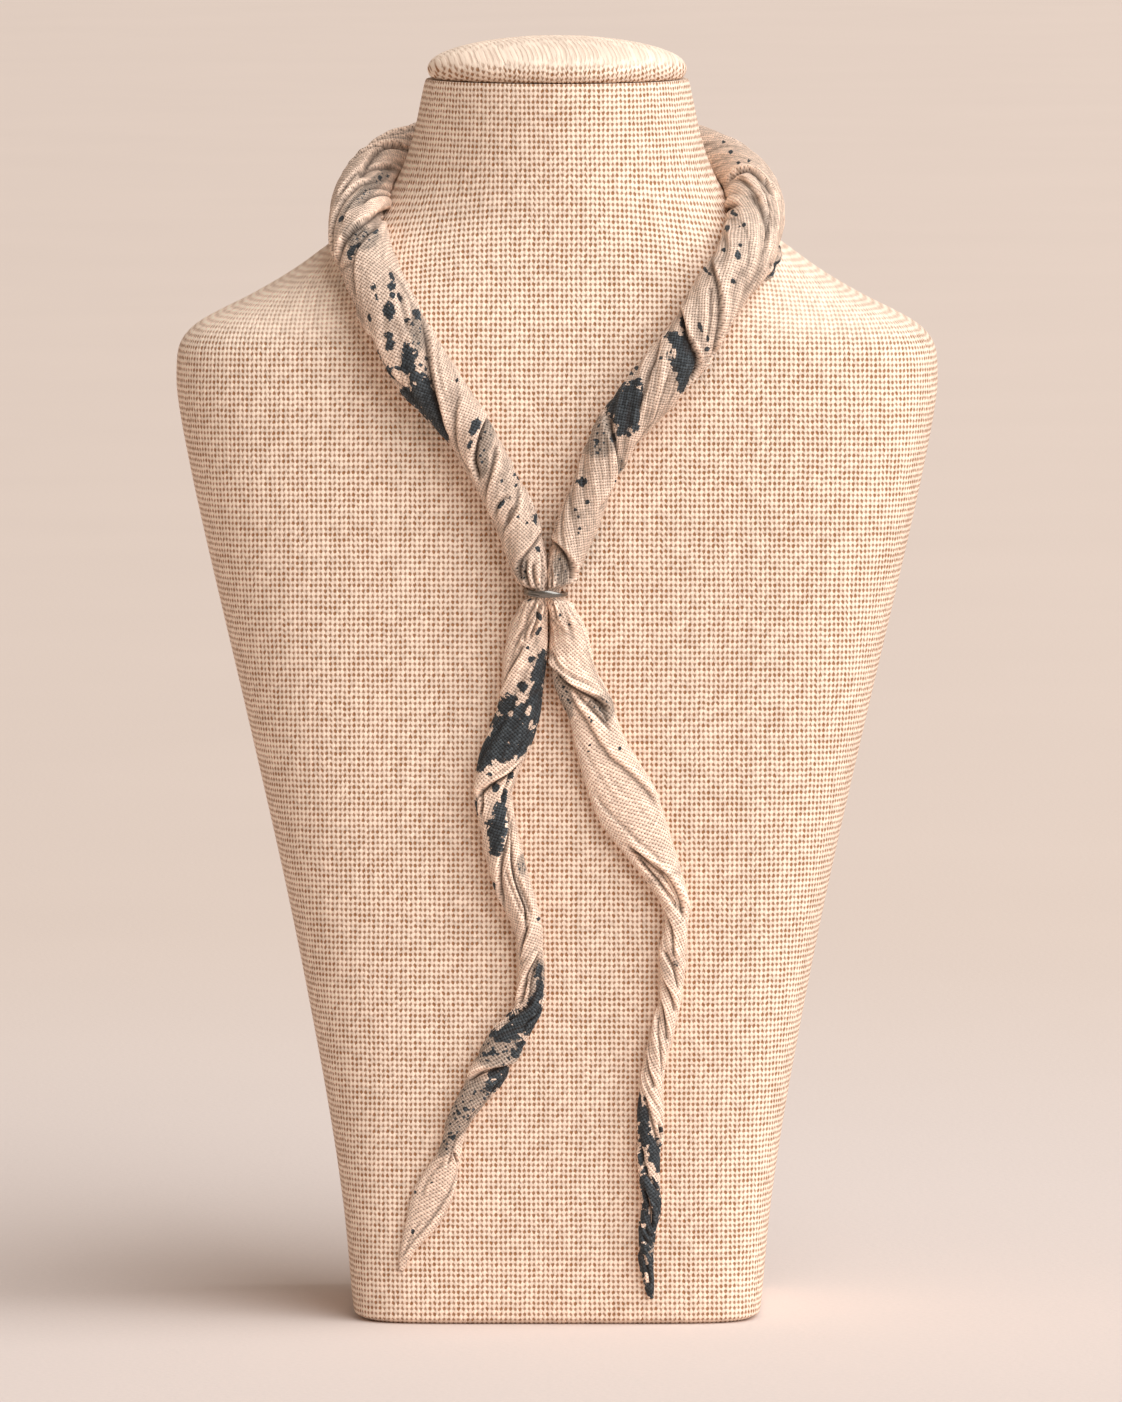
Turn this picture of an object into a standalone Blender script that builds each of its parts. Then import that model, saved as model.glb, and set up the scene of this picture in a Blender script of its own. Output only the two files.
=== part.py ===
"""A twisted cotton bandana on the linen-covered necklace bust that it is worn on.

The bandana is a square of thin cotton, rolled from corner to corner and twisted into a rope. It goes round
the bust's neck, an open wrap ring holds its two strands together on the chest, and its tails hang down the
front. Each stretch of the rope is one closed solid with its own folds.

The bust faces -Y and stands on z = 0, with the origin at the middle of its base. Left and right are as seen
from the front. Sizes and places are in millimetres in the tables, and MM makes them metres.
"""

import math
from collections import namedtuple

import bpy
import bmesh
from mathutils import Vector

MM = 0.001

# Gaps between pieces that touch
SEAM_GAP = 0.3
CLOTH_GAP = 0.3

# The bust: a tapering block with rounded shoulders that runs up into a plain neck.
# front and back are the depths before and behind the middle, squareness is the exponent of the outline's
# curve, 2 for an ellipse.
BustRow = namedtuple("BustRow", "height half_width front back squareness")
BUST_ROWS = (
    BustRow(0.0, 48.9, 38.2, 34.2, 6.8),
    BustRow(1.2, 50.6, 39.8, 35.8, 6.8),
    BustRow(4.0, 51.5, 40.6, 36.6, 6.8),
    BustRow(28.0, 53.8, 41.8, 36.9, 6.2),
    BustRow(58.0, 58.4, 43.4, 37.1, 5.6),
    BustRow(103.0, 67.0, 45.8, 37.4, 5.2),
    BustRow(148.0, 77.0, 47.4, 37.8, 5.0),
    BustRow(193.0, 87.5, 47.3, 38.0, 4.7),
    BustRow(215.0, 92.3, 46.1, 37.8, 4.5),
    BustRow(230.0, 95.0, 44.6, 37.4, 4.3),
    BustRow(238.0, 95.4, 43.4, 37.0, 4.1),
    BustRow(243.0, 94.8, 42.5, 36.7, 3.9),
    BustRow(246.0, 92.9, 41.8, 36.5, 3.7),
    BustRow(248.6, 89.8, 41.2, 36.3, 3.5),
    BustRow(251.5, 84.6, 40.4, 36.1, 3.3),
    BustRow(255.0, 77.6, 39.5, 35.8, 3.1),
    BustRow(259.0, 70.6, 38.6, 35.5, 2.9),
    BustRow(263.0, 64.4, 37.7, 35.3, 2.7),
    BustRow(267.0, 59.0, 36.9, 35.1, 2.55),
    BustRow(271.0, 53.4, 36.2, 34.9, 2.4),
    BustRow(275.0, 48.2, 35.7, 34.8, 2.2),
    BustRow(279.0, 43.9, 35.3, 34.7, 2.1),
    BustRow(284.0, 40.4, 34.9, 34.6, 2.0),
    BustRow(290.0, 37.8, 34.4, 34.4, 2.0),
    BustRow(297.0, 35.7, 33.9, 33.9, 2.0),
    BustRow(308.4, 33.3, 33.2, 33.2, 2.0),
    BustRow(309.6, 32.4, 32.4, 32.4, 2.0),
)
BUST_SEGMENTS = 48

# The domed cap on the neck, turned about the neck's axis.
CapRow = namedtuple("CapRow", "height radius")
CAP_ROWS = (
    CapRow(309.9, 31.2),
    CapRow(310.6, 32.0),
    CapRow(312.2, 32.5),
    CapRow(313.6, 32.1),
    CapRow(315.0, 30.9),
    CapRow(316.4, 28.4),
    CapRow(318.0, 23.6),
    CapRow(319.4, 16.6),
    CapRow(320.3, 8.4),
)
CAP_TOP = 320.6

# The wrap ring: a wire coil a little longer than one turn, whose right end lies over its left one in front.
# spread is how much further out than the middle of the wire the right end is, and the left end is that much
# further in. tilt is how far the left side of the coil stands up.
RING_MIDDLE = Vector((-3.1, -53.6, 184.7))
RING_COIL_RADIUS = 5.25
RING_SPREAD = 0.65
RING_WIRE_RADIUS = 0.45
RING_TIP_RADIUS = 0.25
RING_TAPER_DEGREES = 24
RING_TURN_DEGREES = 430
RING_RISE_PER_TURN = -0.36
RING_TILT = 0.45
RING_POINTS = 44

# The strands press on each other on this plane. The ring squeezes them to its own hole over the pinch's
# height, they widen at the slope above and below it, and it draws them out from the chest over its reach.
PARTING_ACROSS = -2.3
PINCH_HALF_HEIGHT = 1.2
PINCH_SLOPE = 2.2
RING_REACH = 6.0
# How far from the ring's middle each strand has a section of its own, besides the even ones
RING_STATIONS = (1.2, 2.4)

# The collar: the rope from the ring, up the left of the chest, round the neck and down to the ring again.
# A drape's middle lies on the chest, so its rows need no place out from the bust.
DrapeRow = namedtuple("DrapeRow", "across height width depth")
LEFT_DRAPE_ROWS = (
    DrapeRow(-5.2, 184.7, 5.4, 8.4),
    DrapeRow(-5.7, 186.7, 6.8, 8.8),
    DrapeRow(-6.5, 190.5, 8.6, 9.4),
    DrapeRow(-8.0, 195.3, 10.0, 9.8),
    DrapeRow(-10.4, 202.7, 10.8, 10.0),
    DrapeRow(-15.2, 212.5, 10.8, 10.0),
    DrapeRow(-20.7, 222.9, 11.4, 10.4),
    DrapeRow(-27.0, 231.3, 13.0, 11.6),
    DrapeRow(-33.6, 239.8, 14.4, 12.6),
    DrapeRow(-38.6, 248.0, 14.6, 13.0),
    DrapeRow(-43.0, 256.3, 14.4, 13.2),
)
NeckRow = namedtuple("NeckRow", "across out height width depth")
NECK_ROWS = (
    NeckRow(-46.6, -37.0, 264.4, 14.4, 13.4),
    NeckRow(-49.3, -27.8, 271.2, 14.6, 13.6),
    NeckRow(-49.8, -15.6, 276.9, 14.8, 14.0),
    NeckRow(-48.2, -2.6, 281.3, 15.2, 14.2),
    NeckRow(-44.6, 11.0, 285.0, 15.6, 14.6),
    NeckRow(-37.6, 24.2, 288.2, 15.8, 14.8),
    NeckRow(-26.4, 34.6, 290.3, 16.0, 15.0),
    NeckRow(-13.2, 40.6, 291.5, 16.0, 15.0),
    NeckRow(0.0, 42.2, 291.8, 16.0, 15.0),
    NeckRow(13.2, 40.6, 291.5, 16.0, 15.0),
    NeckRow(26.4, 34.6, 290.3, 16.0, 15.0),
    NeckRow(37.8, 24.2, 288.0, 15.8, 14.8),
    NeckRow(45.0, 11.0, 284.6, 15.8, 14.6),
    NeckRow(48.6, -2.6, 280.5, 15.6, 14.4),
    NeckRow(49.4, -15.6, 275.7, 15.4, 14.2),
    NeckRow(48.2, -27.2, 270.6, 15.0, 13.8),
    NeckRow(45.2, -36.2, 264.9, 14.2, 13.2),
)
RIGHT_DRAPE_ROWS = (
    DrapeRow(40.9, 259.4, 13.4, 12.4),
    DrapeRow(36.6, 252.4, 12.8, 12.2),
    DrapeRow(32.0, 245.5, 12.8, 12.0),
    DrapeRow(26.4, 238.5, 13.2, 11.8),
    DrapeRow(20.2, 231.0, 12.8, 11.2),
    DrapeRow(14.4, 223.1, 10.8, 10.4),
    DrapeRow(10.0, 213.6, 9.8, 10.0),
    DrapeRow(5.6, 202.8, 10.4, 10.0),
    DrapeRow(2.9, 195.3, 9.0, 9.8),
    DrapeRow(1.3, 190.5, 7.2, 9.2),
    DrapeRow(0.4, 186.7, 5.6, 8.8),
    DrapeRow(-0.5, 184.7, 4.0, 8.4),
)

# The tails, from the ring down. turn is how far the folds have wound round by that row, in degrees.
TailRow = namedtuple("TailRow", "across height width depth turn")
LEFT_TAIL_ROWS = (
    TailRow(-5.2, 184.7, 5.4, 8.4, 0),
    TailRow(-5.4, 182.7, 6.2, 8.6, 4),
    TailRow(-6.1, 179.1, 8.0, 8.8, 16),
    TailRow(-7.0, 174.6, 9.8, 8.8, 32),
    TailRow(-8.3, 164.6, 10.5, 8.2, 66),
    TailRow(-9.8, 153.6, 10.6, 7.4, 102),
    TailRow(-14.0, 142.6, 10.8, 7.2, 140),
    TailRow(-15.8, 134.6, 9.4, 7.4, 176),
    TailRow(-14.6, 126.9, 9.0, 7.6, 222),
    TailRow(-12.6, 116.8, 9.0, 7.4, 292),
    TailRow(-10.3, 109.3, 8.8, 7.0, 350),
    TailRow(-7.6, 102.2, 7.6, 6.4, 410),
    TailRow(-6.6, 94.7, 6.5, 5.8, 476),
    TailRow(-6.4, 86.1, 6.3, 5.6, 552),
    TailRow(-7.4, 79.7, 6.6, 5.6, 610),
    TailRow(-12.8, 72.4, 8.8, 6.0, 690),
    TailRow(-17.1, 63.9, 8.8, 5.8, 780),
    TailRow(-21.4, 57.1, 6.6, 5.4, 850),
    TailRow(-24.9, 50.6, 5.2, 4.8, 920),
    TailRow(-26.8, 43.9, 5.4, 4.2, 985),
    TailRow(-29.0, 38.1, 8.2, 3.6, 1010),
    TailRow(-31.2, 32.8, 9.8, 3.0, 1025),
    TailRow(-33.6, 26.7, 8.2, 2.6, 1040),
    TailRow(-36.8, 20.5, 4.4, 2.2, 1050),
    TailRow(-39.0, 14.0, 1.6, 1.4, 1060),
)
RIGHT_TAIL_ROWS = (
    TailRow(-0.5, 184.7, 4.0, 8.4, 0),
    TailRow(0.2, 182.7, 5.2, 8.4, -4),
    TailRow(1.2, 179.1, 6.6, 8.4, -12),
    TailRow(2.8, 174.6, 8.6, 8.0, -22),
    TailRow(4.2, 164.6, 11.0, 7.2, -44),
    TailRow(8.4, 154.6, 11.4, 6.2, -64),
    TailRow(10.8, 146.4, 12.6, 5.6, -80),
    TailRow(14.0, 138.4, 14.6, 5.2, -94),
    TailRow(17.8, 130.4, 15.7, 5.0, -108),
    TailRow(22.2, 122.3, 12.8, 5.2, -126),
    TailRow(26.2, 114.7, 9.4, 5.4, -146),
    TailRow(28.8, 108.5, 6.8, 5.2, -170),
    TailRow(29.6, 102.2, 5.8, 5.0, -230),
    TailRow(28.7, 93.7, 6.6, 5.2, -320),
    TailRow(28.3, 83.7, 5.5, 4.8, -430),
    TailRow(26.2, 74.2, 5.6, 4.8, -540),
    TailRow(24.1, 65.6, 5.6, 4.8, -640),
    TailRow(23.4, 58.9, 6.0, 4.9, -715),
    TailRow(23.2, 52.8, 6.5, 5.0, -780),
    TailRow(23.0, 40.7, 5.4, 4.6, -920),
    TailRow(23.5, 31.0, 4.8, 4.2, -1030),
    TailRow(22.5, 23.9, 4.2, 3.8, -1110),
    TailRow(22.3, 16.0, 3.6, 3.2, -1200),
    TailRow(22.9, 10.9, 2.8, 2.6, -1260),
    TailRow(23.5, 6.9, 1.4, 1.4, -1310),
)
# The stretches of each tail, from the ring down to the height where the next begins.
Stretch = namedtuple("Stretch", "name down_to")
LEFT_TAIL_STRETCHES = (
    Stretch("left_tail_band", 134.6),
    Stretch("left_tail_twist", 43.9),
    Stretch("left_tail_tip", 14.0),
)
RIGHT_TAIL_STRETCHES = (
    Stretch("right_tail_leaf", 108.5),
    Stretch("right_tail_twist", 58.9),
    Stretch("right_tail_end", 6.9),
)

# The laps of cloth that show round a section, each with a lip over the lap before it.
# start is where a lap begins, in degrees, and lip is how far it stands proud there, as a share of the radius.
FoldRow = namedtuple("FoldRow", "start lip")
COLLAR_FOLDS = (
    FoldRow(0, 0.15),
    FoldRow(64, 0.11),
    FoldRow(150, 0.16),
    FoldRow(212, 0.10),
    FoldRow(286, 0.14),
)
TAIL_FOLDS = (
    FoldRow(0, 0.22),
    FoldRow(104, 0.16),
    FoldRow(176, 0.24),
    FoldRow(278, 0.18),
)
# The height of a lap from its lip, 1, to where it dips under the next lip, 0.
LapPoint = namedtuple("LapPoint", "share height")
LAP_POINTS = (
    LapPoint(0.04, 0.86),
    LapPoint(0.20, 1.00),
    LapPoint(0.46, 0.86),
    LapPoint(0.72, 0.46),
    LapPoint(0.96, 0.00),
)
# The folds make one turn in this length, and change hands over this length behind the neck.
COLLAR_TURN_LENGTH = 66.0
COLLAR_TURN_CHANGE = 24.0
COLLAR_STATION = 4.2
TAIL_STATION = 3.0
# How deep a strand's round section would sink into the chest before the cloth is pressed flat there
CLOTH_SINK = 0.5
# How far along the path its direction is read, each way
LOOK_ALONG = 0.5
PATH_STEPS = 16
SHARP_EDGE_DEGREES = 40

Station = namedtuple("Station", "middle width depth turn")


def material(name, colour, roughness, metallic=0.0):
    made = bpy.data.materials.new(name)
    made.use_nodes = True
    shader = made.node_tree.nodes["Principled BSDF"]
    shader.inputs["Base Color"].default_value = (*colour, 1.0)
    shader.inputs["Roughness"].default_value = roughness
    shader.inputs["Metallic"].default_value = metallic
    return made


def add_object(name, mesh, finish):
    made = bpy.data.objects.new(name, mesh)
    bpy.context.scene.collection.objects.link(made)
    mesh.materials.append(finish)
    return made


def loft(name, rings, finish, start_tip=None, end_tip=None):
    """A closed solid through rings of equal length, shut with a fan at each end."""
    bm = bmesh.new()
    layers = [[bm.verts.new(point * MM) for point in ring] for ring in rings]
    for lower, upper in zip(layers, layers[1:]):
        for i in range(len(lower)):
            j = (i + 1) % len(lower)
            bm.faces.new((lower[i], lower[j], upper[j], upper[i]))
    for ring, layer, tip in ((rings[0], layers[0], start_tip), (rings[-1], layers[-1], end_tip)):
        middle = tip or sum(ring, Vector()) / len(ring)
        point = bm.verts.new(middle * MM)
        for i in range(len(layer)):
            bm.faces.new((layer[i], layer[(i + 1) % len(layer)], point))
    bmesh.ops.triangulate(bm, faces=bm.faces[:], quad_method="SHORT_EDGE")
    bmesh.ops.recalc_face_normals(bm, faces=bm.faces[:])
    mesh = bpy.data.meshes.new(name)
    bm.to_mesh(mesh)
    bm.free()
    mesh.shade_smooth()
    mesh.set_sharp_from_angle(angle=math.radians(SHARP_EDGE_DEGREES))
    return add_object(name, mesh, finish)


def bust_at(height):
    """The bust's sizes at a height, read between its rows."""
    held = min(max(height, BUST_ROWS[0].height), BUST_ROWS[-1].height)
    for low, high in zip(BUST_ROWS, BUST_ROWS[1:]):
        if held <= high.height:
            share = (held - low.height) / (high.height - low.height)
            return BustRow(*(a + (b - a) * share for a, b in zip(low, high)))


def bust_reach(point, row):
    """1 on the bust's outline at this height, less inside it and more outside it."""
    depth = row.front if point.y < 0 else row.back
    n = row.squareness
    return ((abs(point.x) / row.half_width) ** n + (abs(point.y) / depth) ** n) ** (1 / n)


def bust_outward(point):
    """The level direction away from the bust's side at a point."""
    row = bust_at(point.z)
    depth = row.front if point.y < 0 else row.back
    n = row.squareness
    across = (abs(point.x) / row.half_width) ** (n - 1) / row.half_width
    out = (abs(point.y) / depth) ** (n - 1) / depth
    return Vector((math.copysign(across, point.x), math.copysign(out, point.y), 0)).normalized()


def bust_ring(row):
    ring = []
    for i in range(BUST_SEGMENTS):
        angle = 2 * math.pi * i / BUST_SEGMENTS
        c, s = math.cos(angle), math.sin(angle)
        power = 2 / row.squareness
        depth = row.back if s > 0 else row.front
        across = math.copysign(abs(c) ** power * row.half_width, c)
        out = math.copysign(abs(s) ** power * depth, s)
        ring.append(Vector((across, out, row.height)))
    return ring


def build_bust(linen):
    loft("bust_torso", [bust_ring(row) for row in BUST_ROWS], linen)
    rings = []
    for row in CAP_ROWS:
        rings.append(bust_ring(BustRow(row.height, row.radius, row.radius, row.radius, 2.0)))
    loft("bust_cap", rings, linen, end_tip=Vector((0, 0, CAP_TOP)))


def on_chest(row):
    """The middle of a strand that lies on the front of the bust."""
    side = bust_at(row.height)
    share = 1 - (abs(row.across) / side.half_width) ** side.squareness
    front = side.front * share ** (1 / side.squareness)
    past = max(0.0, abs(row.height - RING_MIDDLE.z) - PINCH_HALF_HEIGHT)
    in_ring = math.exp(-((past / RING_REACH) ** 2))
    out = -(front + CLOTH_GAP + row.depth / 2 - CLOTH_SINK)
    out += (RING_MIDDLE.y - out) * in_ring
    return Vector((row.across, out, row.height))


def curve_value(a, b, c, d, t):
    """Catmull-Rom between b and c."""
    return 0.5 * (2 * b + (c - a) * t + (2 * a - 5 * b + 4 * c - d) * t**2 + (3 * b - a - 3 * c + d) * t**3)


def smooth_path(stations):
    """A finer list of stations on a smooth curve through the given ones."""
    padded = [stations[0], *stations, stations[-1]]
    path = []
    for a, b, c, d in zip(padded, padded[1:], padded[2:], padded[3:]):
        for step in range(PATH_STEPS):
            t = step / PATH_STEPS
            path.append(Station(*(curve_value(*values, t) for values in zip(a, b, c, d))))
    return [*path, stations[-1]]


def lengths_along(path):
    lengths = [0.0]
    for before, after in zip(path, path[1:]):
        lengths.append(lengths[-1] + (after.middle - before.middle).length)
    return lengths


def station_at(path, lengths, length):
    for i in range(len(path) - 1):
        if length <= lengths[i + 1]:
            share = (length - lengths[i]) / (lengths[i + 1] - lengths[i])
            return Station(*(a + (b - a) * share for a, b in zip(path[i], path[i + 1])))
    return path[-1]


def collar_turn(length, whole):
    """The folds wind one way up the left strand and the other way down the right one."""
    from_middle = math.hypot(length - whole / 2, COLLAR_TURN_CHANGE)
    return -360 * from_middle / COLLAR_TURN_LENGTH


def clear_of_bust(point):
    """The cloth lies flat where it would sink into the bust."""
    row = bust_at(point.z)
    reach = bust_reach(point, row)
    level = math.hypot(point.x, point.y)
    least = 1 + CLOTH_GAP / level
    if reach >= least:
        return point
    grown = least / reach
    return Vector((point.x * grown, point.y * grown, point.z))


def clear_of_other_strand(point, side):
    """The strands meet on one plane at the ring, and each keeps to its side: -1 left, 1 right, 0 neither."""
    if side == 0:
        return point
    edge = PARTING_ACROSS + side * CLOTH_GAP / 2
    across = max(point.x, edge) if side > 0 else min(point.x, edge)
    return Vector((across, point.y, point.z))


def inside_ring(point):
    """The ring squeezes the cloth, which widens again above and below it."""
    past = max(0.0, abs(point.z - RING_MIDDLE.z) - PINCH_HALF_HEIGHT)
    allowed = RING_COIL_RADIUS - RING_SPREAD - RING_WIRE_RADIUS - CLOTH_GAP + past * PINCH_SLOPE
    level = Vector((point.x - RING_MIDDLE.x, point.y - RING_MIDDLE.y))
    if level.length <= allowed or point.y > 0:
        return point
    level *= allowed / level.length
    return Vector((RING_MIDDLE.x + level.x, RING_MIDDLE.y + level.y, point.z))


def section(station, tangent, folds, side):
    """One ring of points round the rope, with its laps wound round to the station's turn."""
    outward = bust_outward(station.middle)
    outward = (outward - tangent * outward.dot(tangent)).normalized()
    across = outward.cross(tangent)
    starts = [fold.start for fold in folds] + [folds[0].start + 360]
    ring = []
    for fold, start, end in zip(folds, starts, starts[1:]):
        for lap in LAP_POINTS:
            angle = math.radians(start + (end - start) * lap.share + station.turn)
            reach = 1 - fold.lip * (1 - lap.height)
            point = station.middle + across * (station.width / 2 * reach * math.cos(angle))
            point += outward * (station.depth / 2 * reach * math.sin(angle))
            point = clear_of_other_strand(inside_ring(clear_of_bust(point)), side)
            ring.append(point)
    return ring


def section_lengths(path, lengths, first, last, spacing):
    """Even places along a stretch, and some close to the ring where the stretch meets it."""
    count = max(4, round((last - first) / spacing))
    places = [first + (last - first) * i / count for i in range(count + 1)]
    for end, inward in ((first, 1), (last, -1)):
        if abs(station_at(path, lengths, end).middle.z - RING_MIDDLE.z) < SEAM_GAP:
            places += [end + inward * away for away in RING_STATIONS]
    return sorted(places)


def build_stretch(name, path, first, last, spacing, folds, side, cloth):
    """The solid of the rope between two lengths along its path."""
    lengths = lengths_along(path)
    rings = []
    for length in section_lengths(path, lengths, first, last, spacing):
        station = station_at(path, lengths, length)
        ahead = station_at(path, lengths, min(length + LOOK_ALONG, lengths[-1])).middle
        behind = station_at(path, lengths, max(length - LOOK_ALONG, 0)).middle
        tangent = (ahead - behind).normalized()
        if abs(station.middle.z - RING_MIDDLE.z) < PINCH_HALF_HEIGHT:
            tangent = Vector((0, 0, math.copysign(1, tangent.z)))
        rings.append(section(station, tangent, folds, side))
    return loft(name, rings, cloth)


def length_at_row(path, lengths, middle):
    """How far along the path its nearest point to a row's middle is."""
    nearest = min(range(len(path)), key=lambda i: (path[i].middle - middle).length)
    return lengths[nearest]


def build_collar(cloth):
    stations = [Station(on_chest(row), row.width, row.depth, 0.0) for row in LEFT_DRAPE_ROWS]
    for row in NECK_ROWS:
        stations.append(Station(Vector(row[:3]), row.width, row.depth, 0.0))
    stations += [Station(on_chest(row), row.width, row.depth, 0.0) for row in RIGHT_DRAPE_ROWS]
    path = smooth_path(stations)
    lengths = lengths_along(path)
    whole = lengths[-1]
    path = [s._replace(turn=collar_turn(length, whole)) for s, length in zip(path, lengths)]
    left_seam = length_at_row(path, lengths, Vector(NECK_ROWS[0][:3]))
    right_seam = length_at_row(path, lengths, Vector(NECK_ROWS[-1][:3]))
    half = SEAM_GAP / 2
    stretches = (
        ("left_drape", half, left_seam - half, -1),
        ("neck_roll", left_seam + half, right_seam - half, 0),
        ("right_drape", right_seam + half, whole - half, 1),
    )
    for name, first, last, side in stretches:
        build_stretch(name, path, first, last, COLLAR_STATION, COLLAR_FOLDS, side, cloth)


def build_tail(rows, stretches, side, cloth):
    stations = [Station(on_chest(row), row.width, row.depth, row.turn) for row in rows]
    path = smooth_path(stations)
    lengths = lengths_along(path)
    first = 0.0
    for stretch in stretches:
        row = next(row for row in rows if row.height == stretch.down_to)
        last = length_at_row(path, lengths, on_chest(row))
        half = SEAM_GAP / 2
        build_stretch(
            stretch.name, path, first + half, last - half, TAIL_STATION, TAIL_FOLDS, side, cloth
        )
        first = last


def build_ring(metal):
    curve = bpy.data.curves.new("wrap_ring", "CURVE")
    curve.dimensions = "3D"
    curve.bevel_depth = RING_WIRE_RADIUS * MM
    curve.bevel_resolution = 2
    curve.use_fill_caps = True
    spline = curve.splines.new("POLY")
    spline.points.add(RING_POINTS - 1)
    for i, point in enumerate(spline.points):
        turned = RING_TURN_DEGREES * (i / (RING_POINTS - 1) - 0.5)
        # The middle of the wire is at the back, and its ends pass in front.
        angle = math.radians(90 + turned)
        radius = RING_COIL_RADIUS - RING_SPREAD * turned / (RING_TURN_DEGREES / 2)
        rise = RING_RISE_PER_TURN * turned / 360 - RING_TILT * math.cos(angle)
        place = RING_MIDDLE + Vector((radius * math.cos(angle), radius * math.sin(angle), rise))
        from_end = RING_TURN_DEGREES / 2 - abs(turned)
        tip = RING_TIP_RADIUS / RING_WIRE_RADIUS
        point.co = (*(place * MM), 1.0)
        point.radius = tip + (1 - tip) * min(1.0, from_end / RING_TAPER_DEGREES)
    made = bpy.data.objects.new("wrap_ring", curve)
    bpy.context.scene.collection.objects.link(made)
    curve.materials.append(metal)


def main():
    for old in list(bpy.data.objects):
        bpy.data.objects.remove(old)
    linen = material("bust_linen", (0.79, 0.62, 0.47), 0.9)
    cloth = material("printed_cotton", (0.72, 0.55, 0.43), 0.85)
    metal = material("ring_steel", (0.52, 0.49, 0.45), 0.32, 1.0)
    build_bust(linen)
    build_ring(metal)
    build_collar(cloth)
    build_tail(LEFT_TAIL_ROWS, LEFT_TAIL_STRETCHES, -1, cloth)
    build_tail(RIGHT_TAIL_ROWS, RIGHT_TAIL_STRETCHES, 1, cloth)


main()
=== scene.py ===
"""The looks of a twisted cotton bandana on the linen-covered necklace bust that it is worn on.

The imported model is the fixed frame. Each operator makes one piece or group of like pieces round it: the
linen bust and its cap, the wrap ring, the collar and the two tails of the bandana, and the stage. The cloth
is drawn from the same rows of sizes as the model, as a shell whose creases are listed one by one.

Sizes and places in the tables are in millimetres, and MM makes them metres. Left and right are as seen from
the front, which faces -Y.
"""

import math
from collections import namedtuple

import bmesh
import bpy
import numpy as np
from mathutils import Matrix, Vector


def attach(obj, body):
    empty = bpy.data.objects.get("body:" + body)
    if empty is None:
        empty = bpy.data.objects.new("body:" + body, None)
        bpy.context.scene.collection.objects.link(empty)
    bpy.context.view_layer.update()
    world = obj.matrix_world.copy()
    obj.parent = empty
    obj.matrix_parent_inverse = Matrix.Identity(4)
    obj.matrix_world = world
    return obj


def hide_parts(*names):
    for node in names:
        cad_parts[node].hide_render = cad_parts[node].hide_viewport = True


bl_info = {
    "name": "Bandana on a Necklace Bust",
    "version": (1, 0, 0),
    "blender": (4, 5, 0),
    "location": "View3D > Sidebar > Bandana",
    "description": "Twisted printed cloth, linen bust, wrap ring and studio stage",
    "category": "Object",
}

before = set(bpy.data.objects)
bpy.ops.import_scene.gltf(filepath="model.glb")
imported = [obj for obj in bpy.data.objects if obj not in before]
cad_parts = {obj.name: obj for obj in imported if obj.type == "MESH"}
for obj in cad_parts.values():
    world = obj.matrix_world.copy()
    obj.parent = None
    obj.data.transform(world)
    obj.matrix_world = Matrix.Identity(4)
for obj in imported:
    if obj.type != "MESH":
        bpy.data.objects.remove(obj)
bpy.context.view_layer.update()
MM = 0.001

# The bust, as rows of sizes. front and back are the depths before and behind the middle, and squareness is
# the exponent of the outline's curve, 2 for an ellipse.
BustRow = namedtuple("BustRow", "height half_width front back squareness")
BUST_ROWS = (
    BustRow(0.0, 48.9, 38.2, 34.2, 6.8),
    BustRow(1.2, 50.6, 39.8, 35.8, 6.8),
    BustRow(4.0, 51.5, 40.6, 36.6, 6.8),
    BustRow(28.0, 53.8, 41.8, 36.9, 6.2),
    BustRow(58.0, 58.4, 43.4, 37.1, 5.6),
    BustRow(103.0, 67.0, 45.8, 37.4, 5.2),
    BustRow(148.0, 77.0, 47.4, 37.8, 5.0),
    BustRow(193.0, 87.5, 47.3, 38.0, 4.7),
    BustRow(215.0, 92.3, 46.1, 37.8, 4.5),
    BustRow(230.0, 95.0, 44.6, 37.4, 4.3),
    BustRow(238.0, 95.4, 43.4, 37.0, 4.1),
    BustRow(243.0, 94.8, 42.5, 36.7, 3.9),
    BustRow(246.0, 92.9, 41.8, 36.5, 3.7),
    BustRow(248.6, 89.8, 41.2, 36.3, 3.5),
    BustRow(251.5, 84.6, 40.4, 36.1, 3.3),
    BustRow(255.0, 77.6, 39.5, 35.8, 3.1),
    BustRow(259.0, 70.6, 38.6, 35.5, 2.9),
    BustRow(263.0, 64.4, 37.7, 35.3, 2.7),
    BustRow(267.0, 59.0, 36.9, 35.1, 2.55),
    BustRow(271.0, 53.4, 36.2, 34.9, 2.4),
    BustRow(275.0, 48.2, 35.7, 34.8, 2.2),
    BustRow(279.0, 43.9, 35.3, 34.7, 2.1),
    BustRow(284.0, 40.4, 34.9, 34.6, 2.0),
    BustRow(290.0, 37.8, 34.4, 34.4, 2.0),
    BustRow(297.0, 35.7, 33.9, 33.9, 2.0),
    BustRow(308.4, 33.3, 33.2, 33.2, 2.0),
    BustRow(309.6, 32.4, 32.4, 32.4, 2.0),
)
CapRow = namedtuple("CapRow", "height radius")
CAP_ROWS = (
    CapRow(309.9, 31.2),
    CapRow(310.6, 32.0),
    CapRow(312.2, 32.5),
    CapRow(313.6, 32.1),
    CapRow(315.0, 30.9),
    CapRow(316.4, 28.4),
    CapRow(318.0, 23.6),
    CapRow(319.4, 16.6),
    CapRow(320.3, 8.4),
)
CAP_TOP = 320.6
BUST_AROUND = 192
CAP_AROUND = 160

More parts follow.
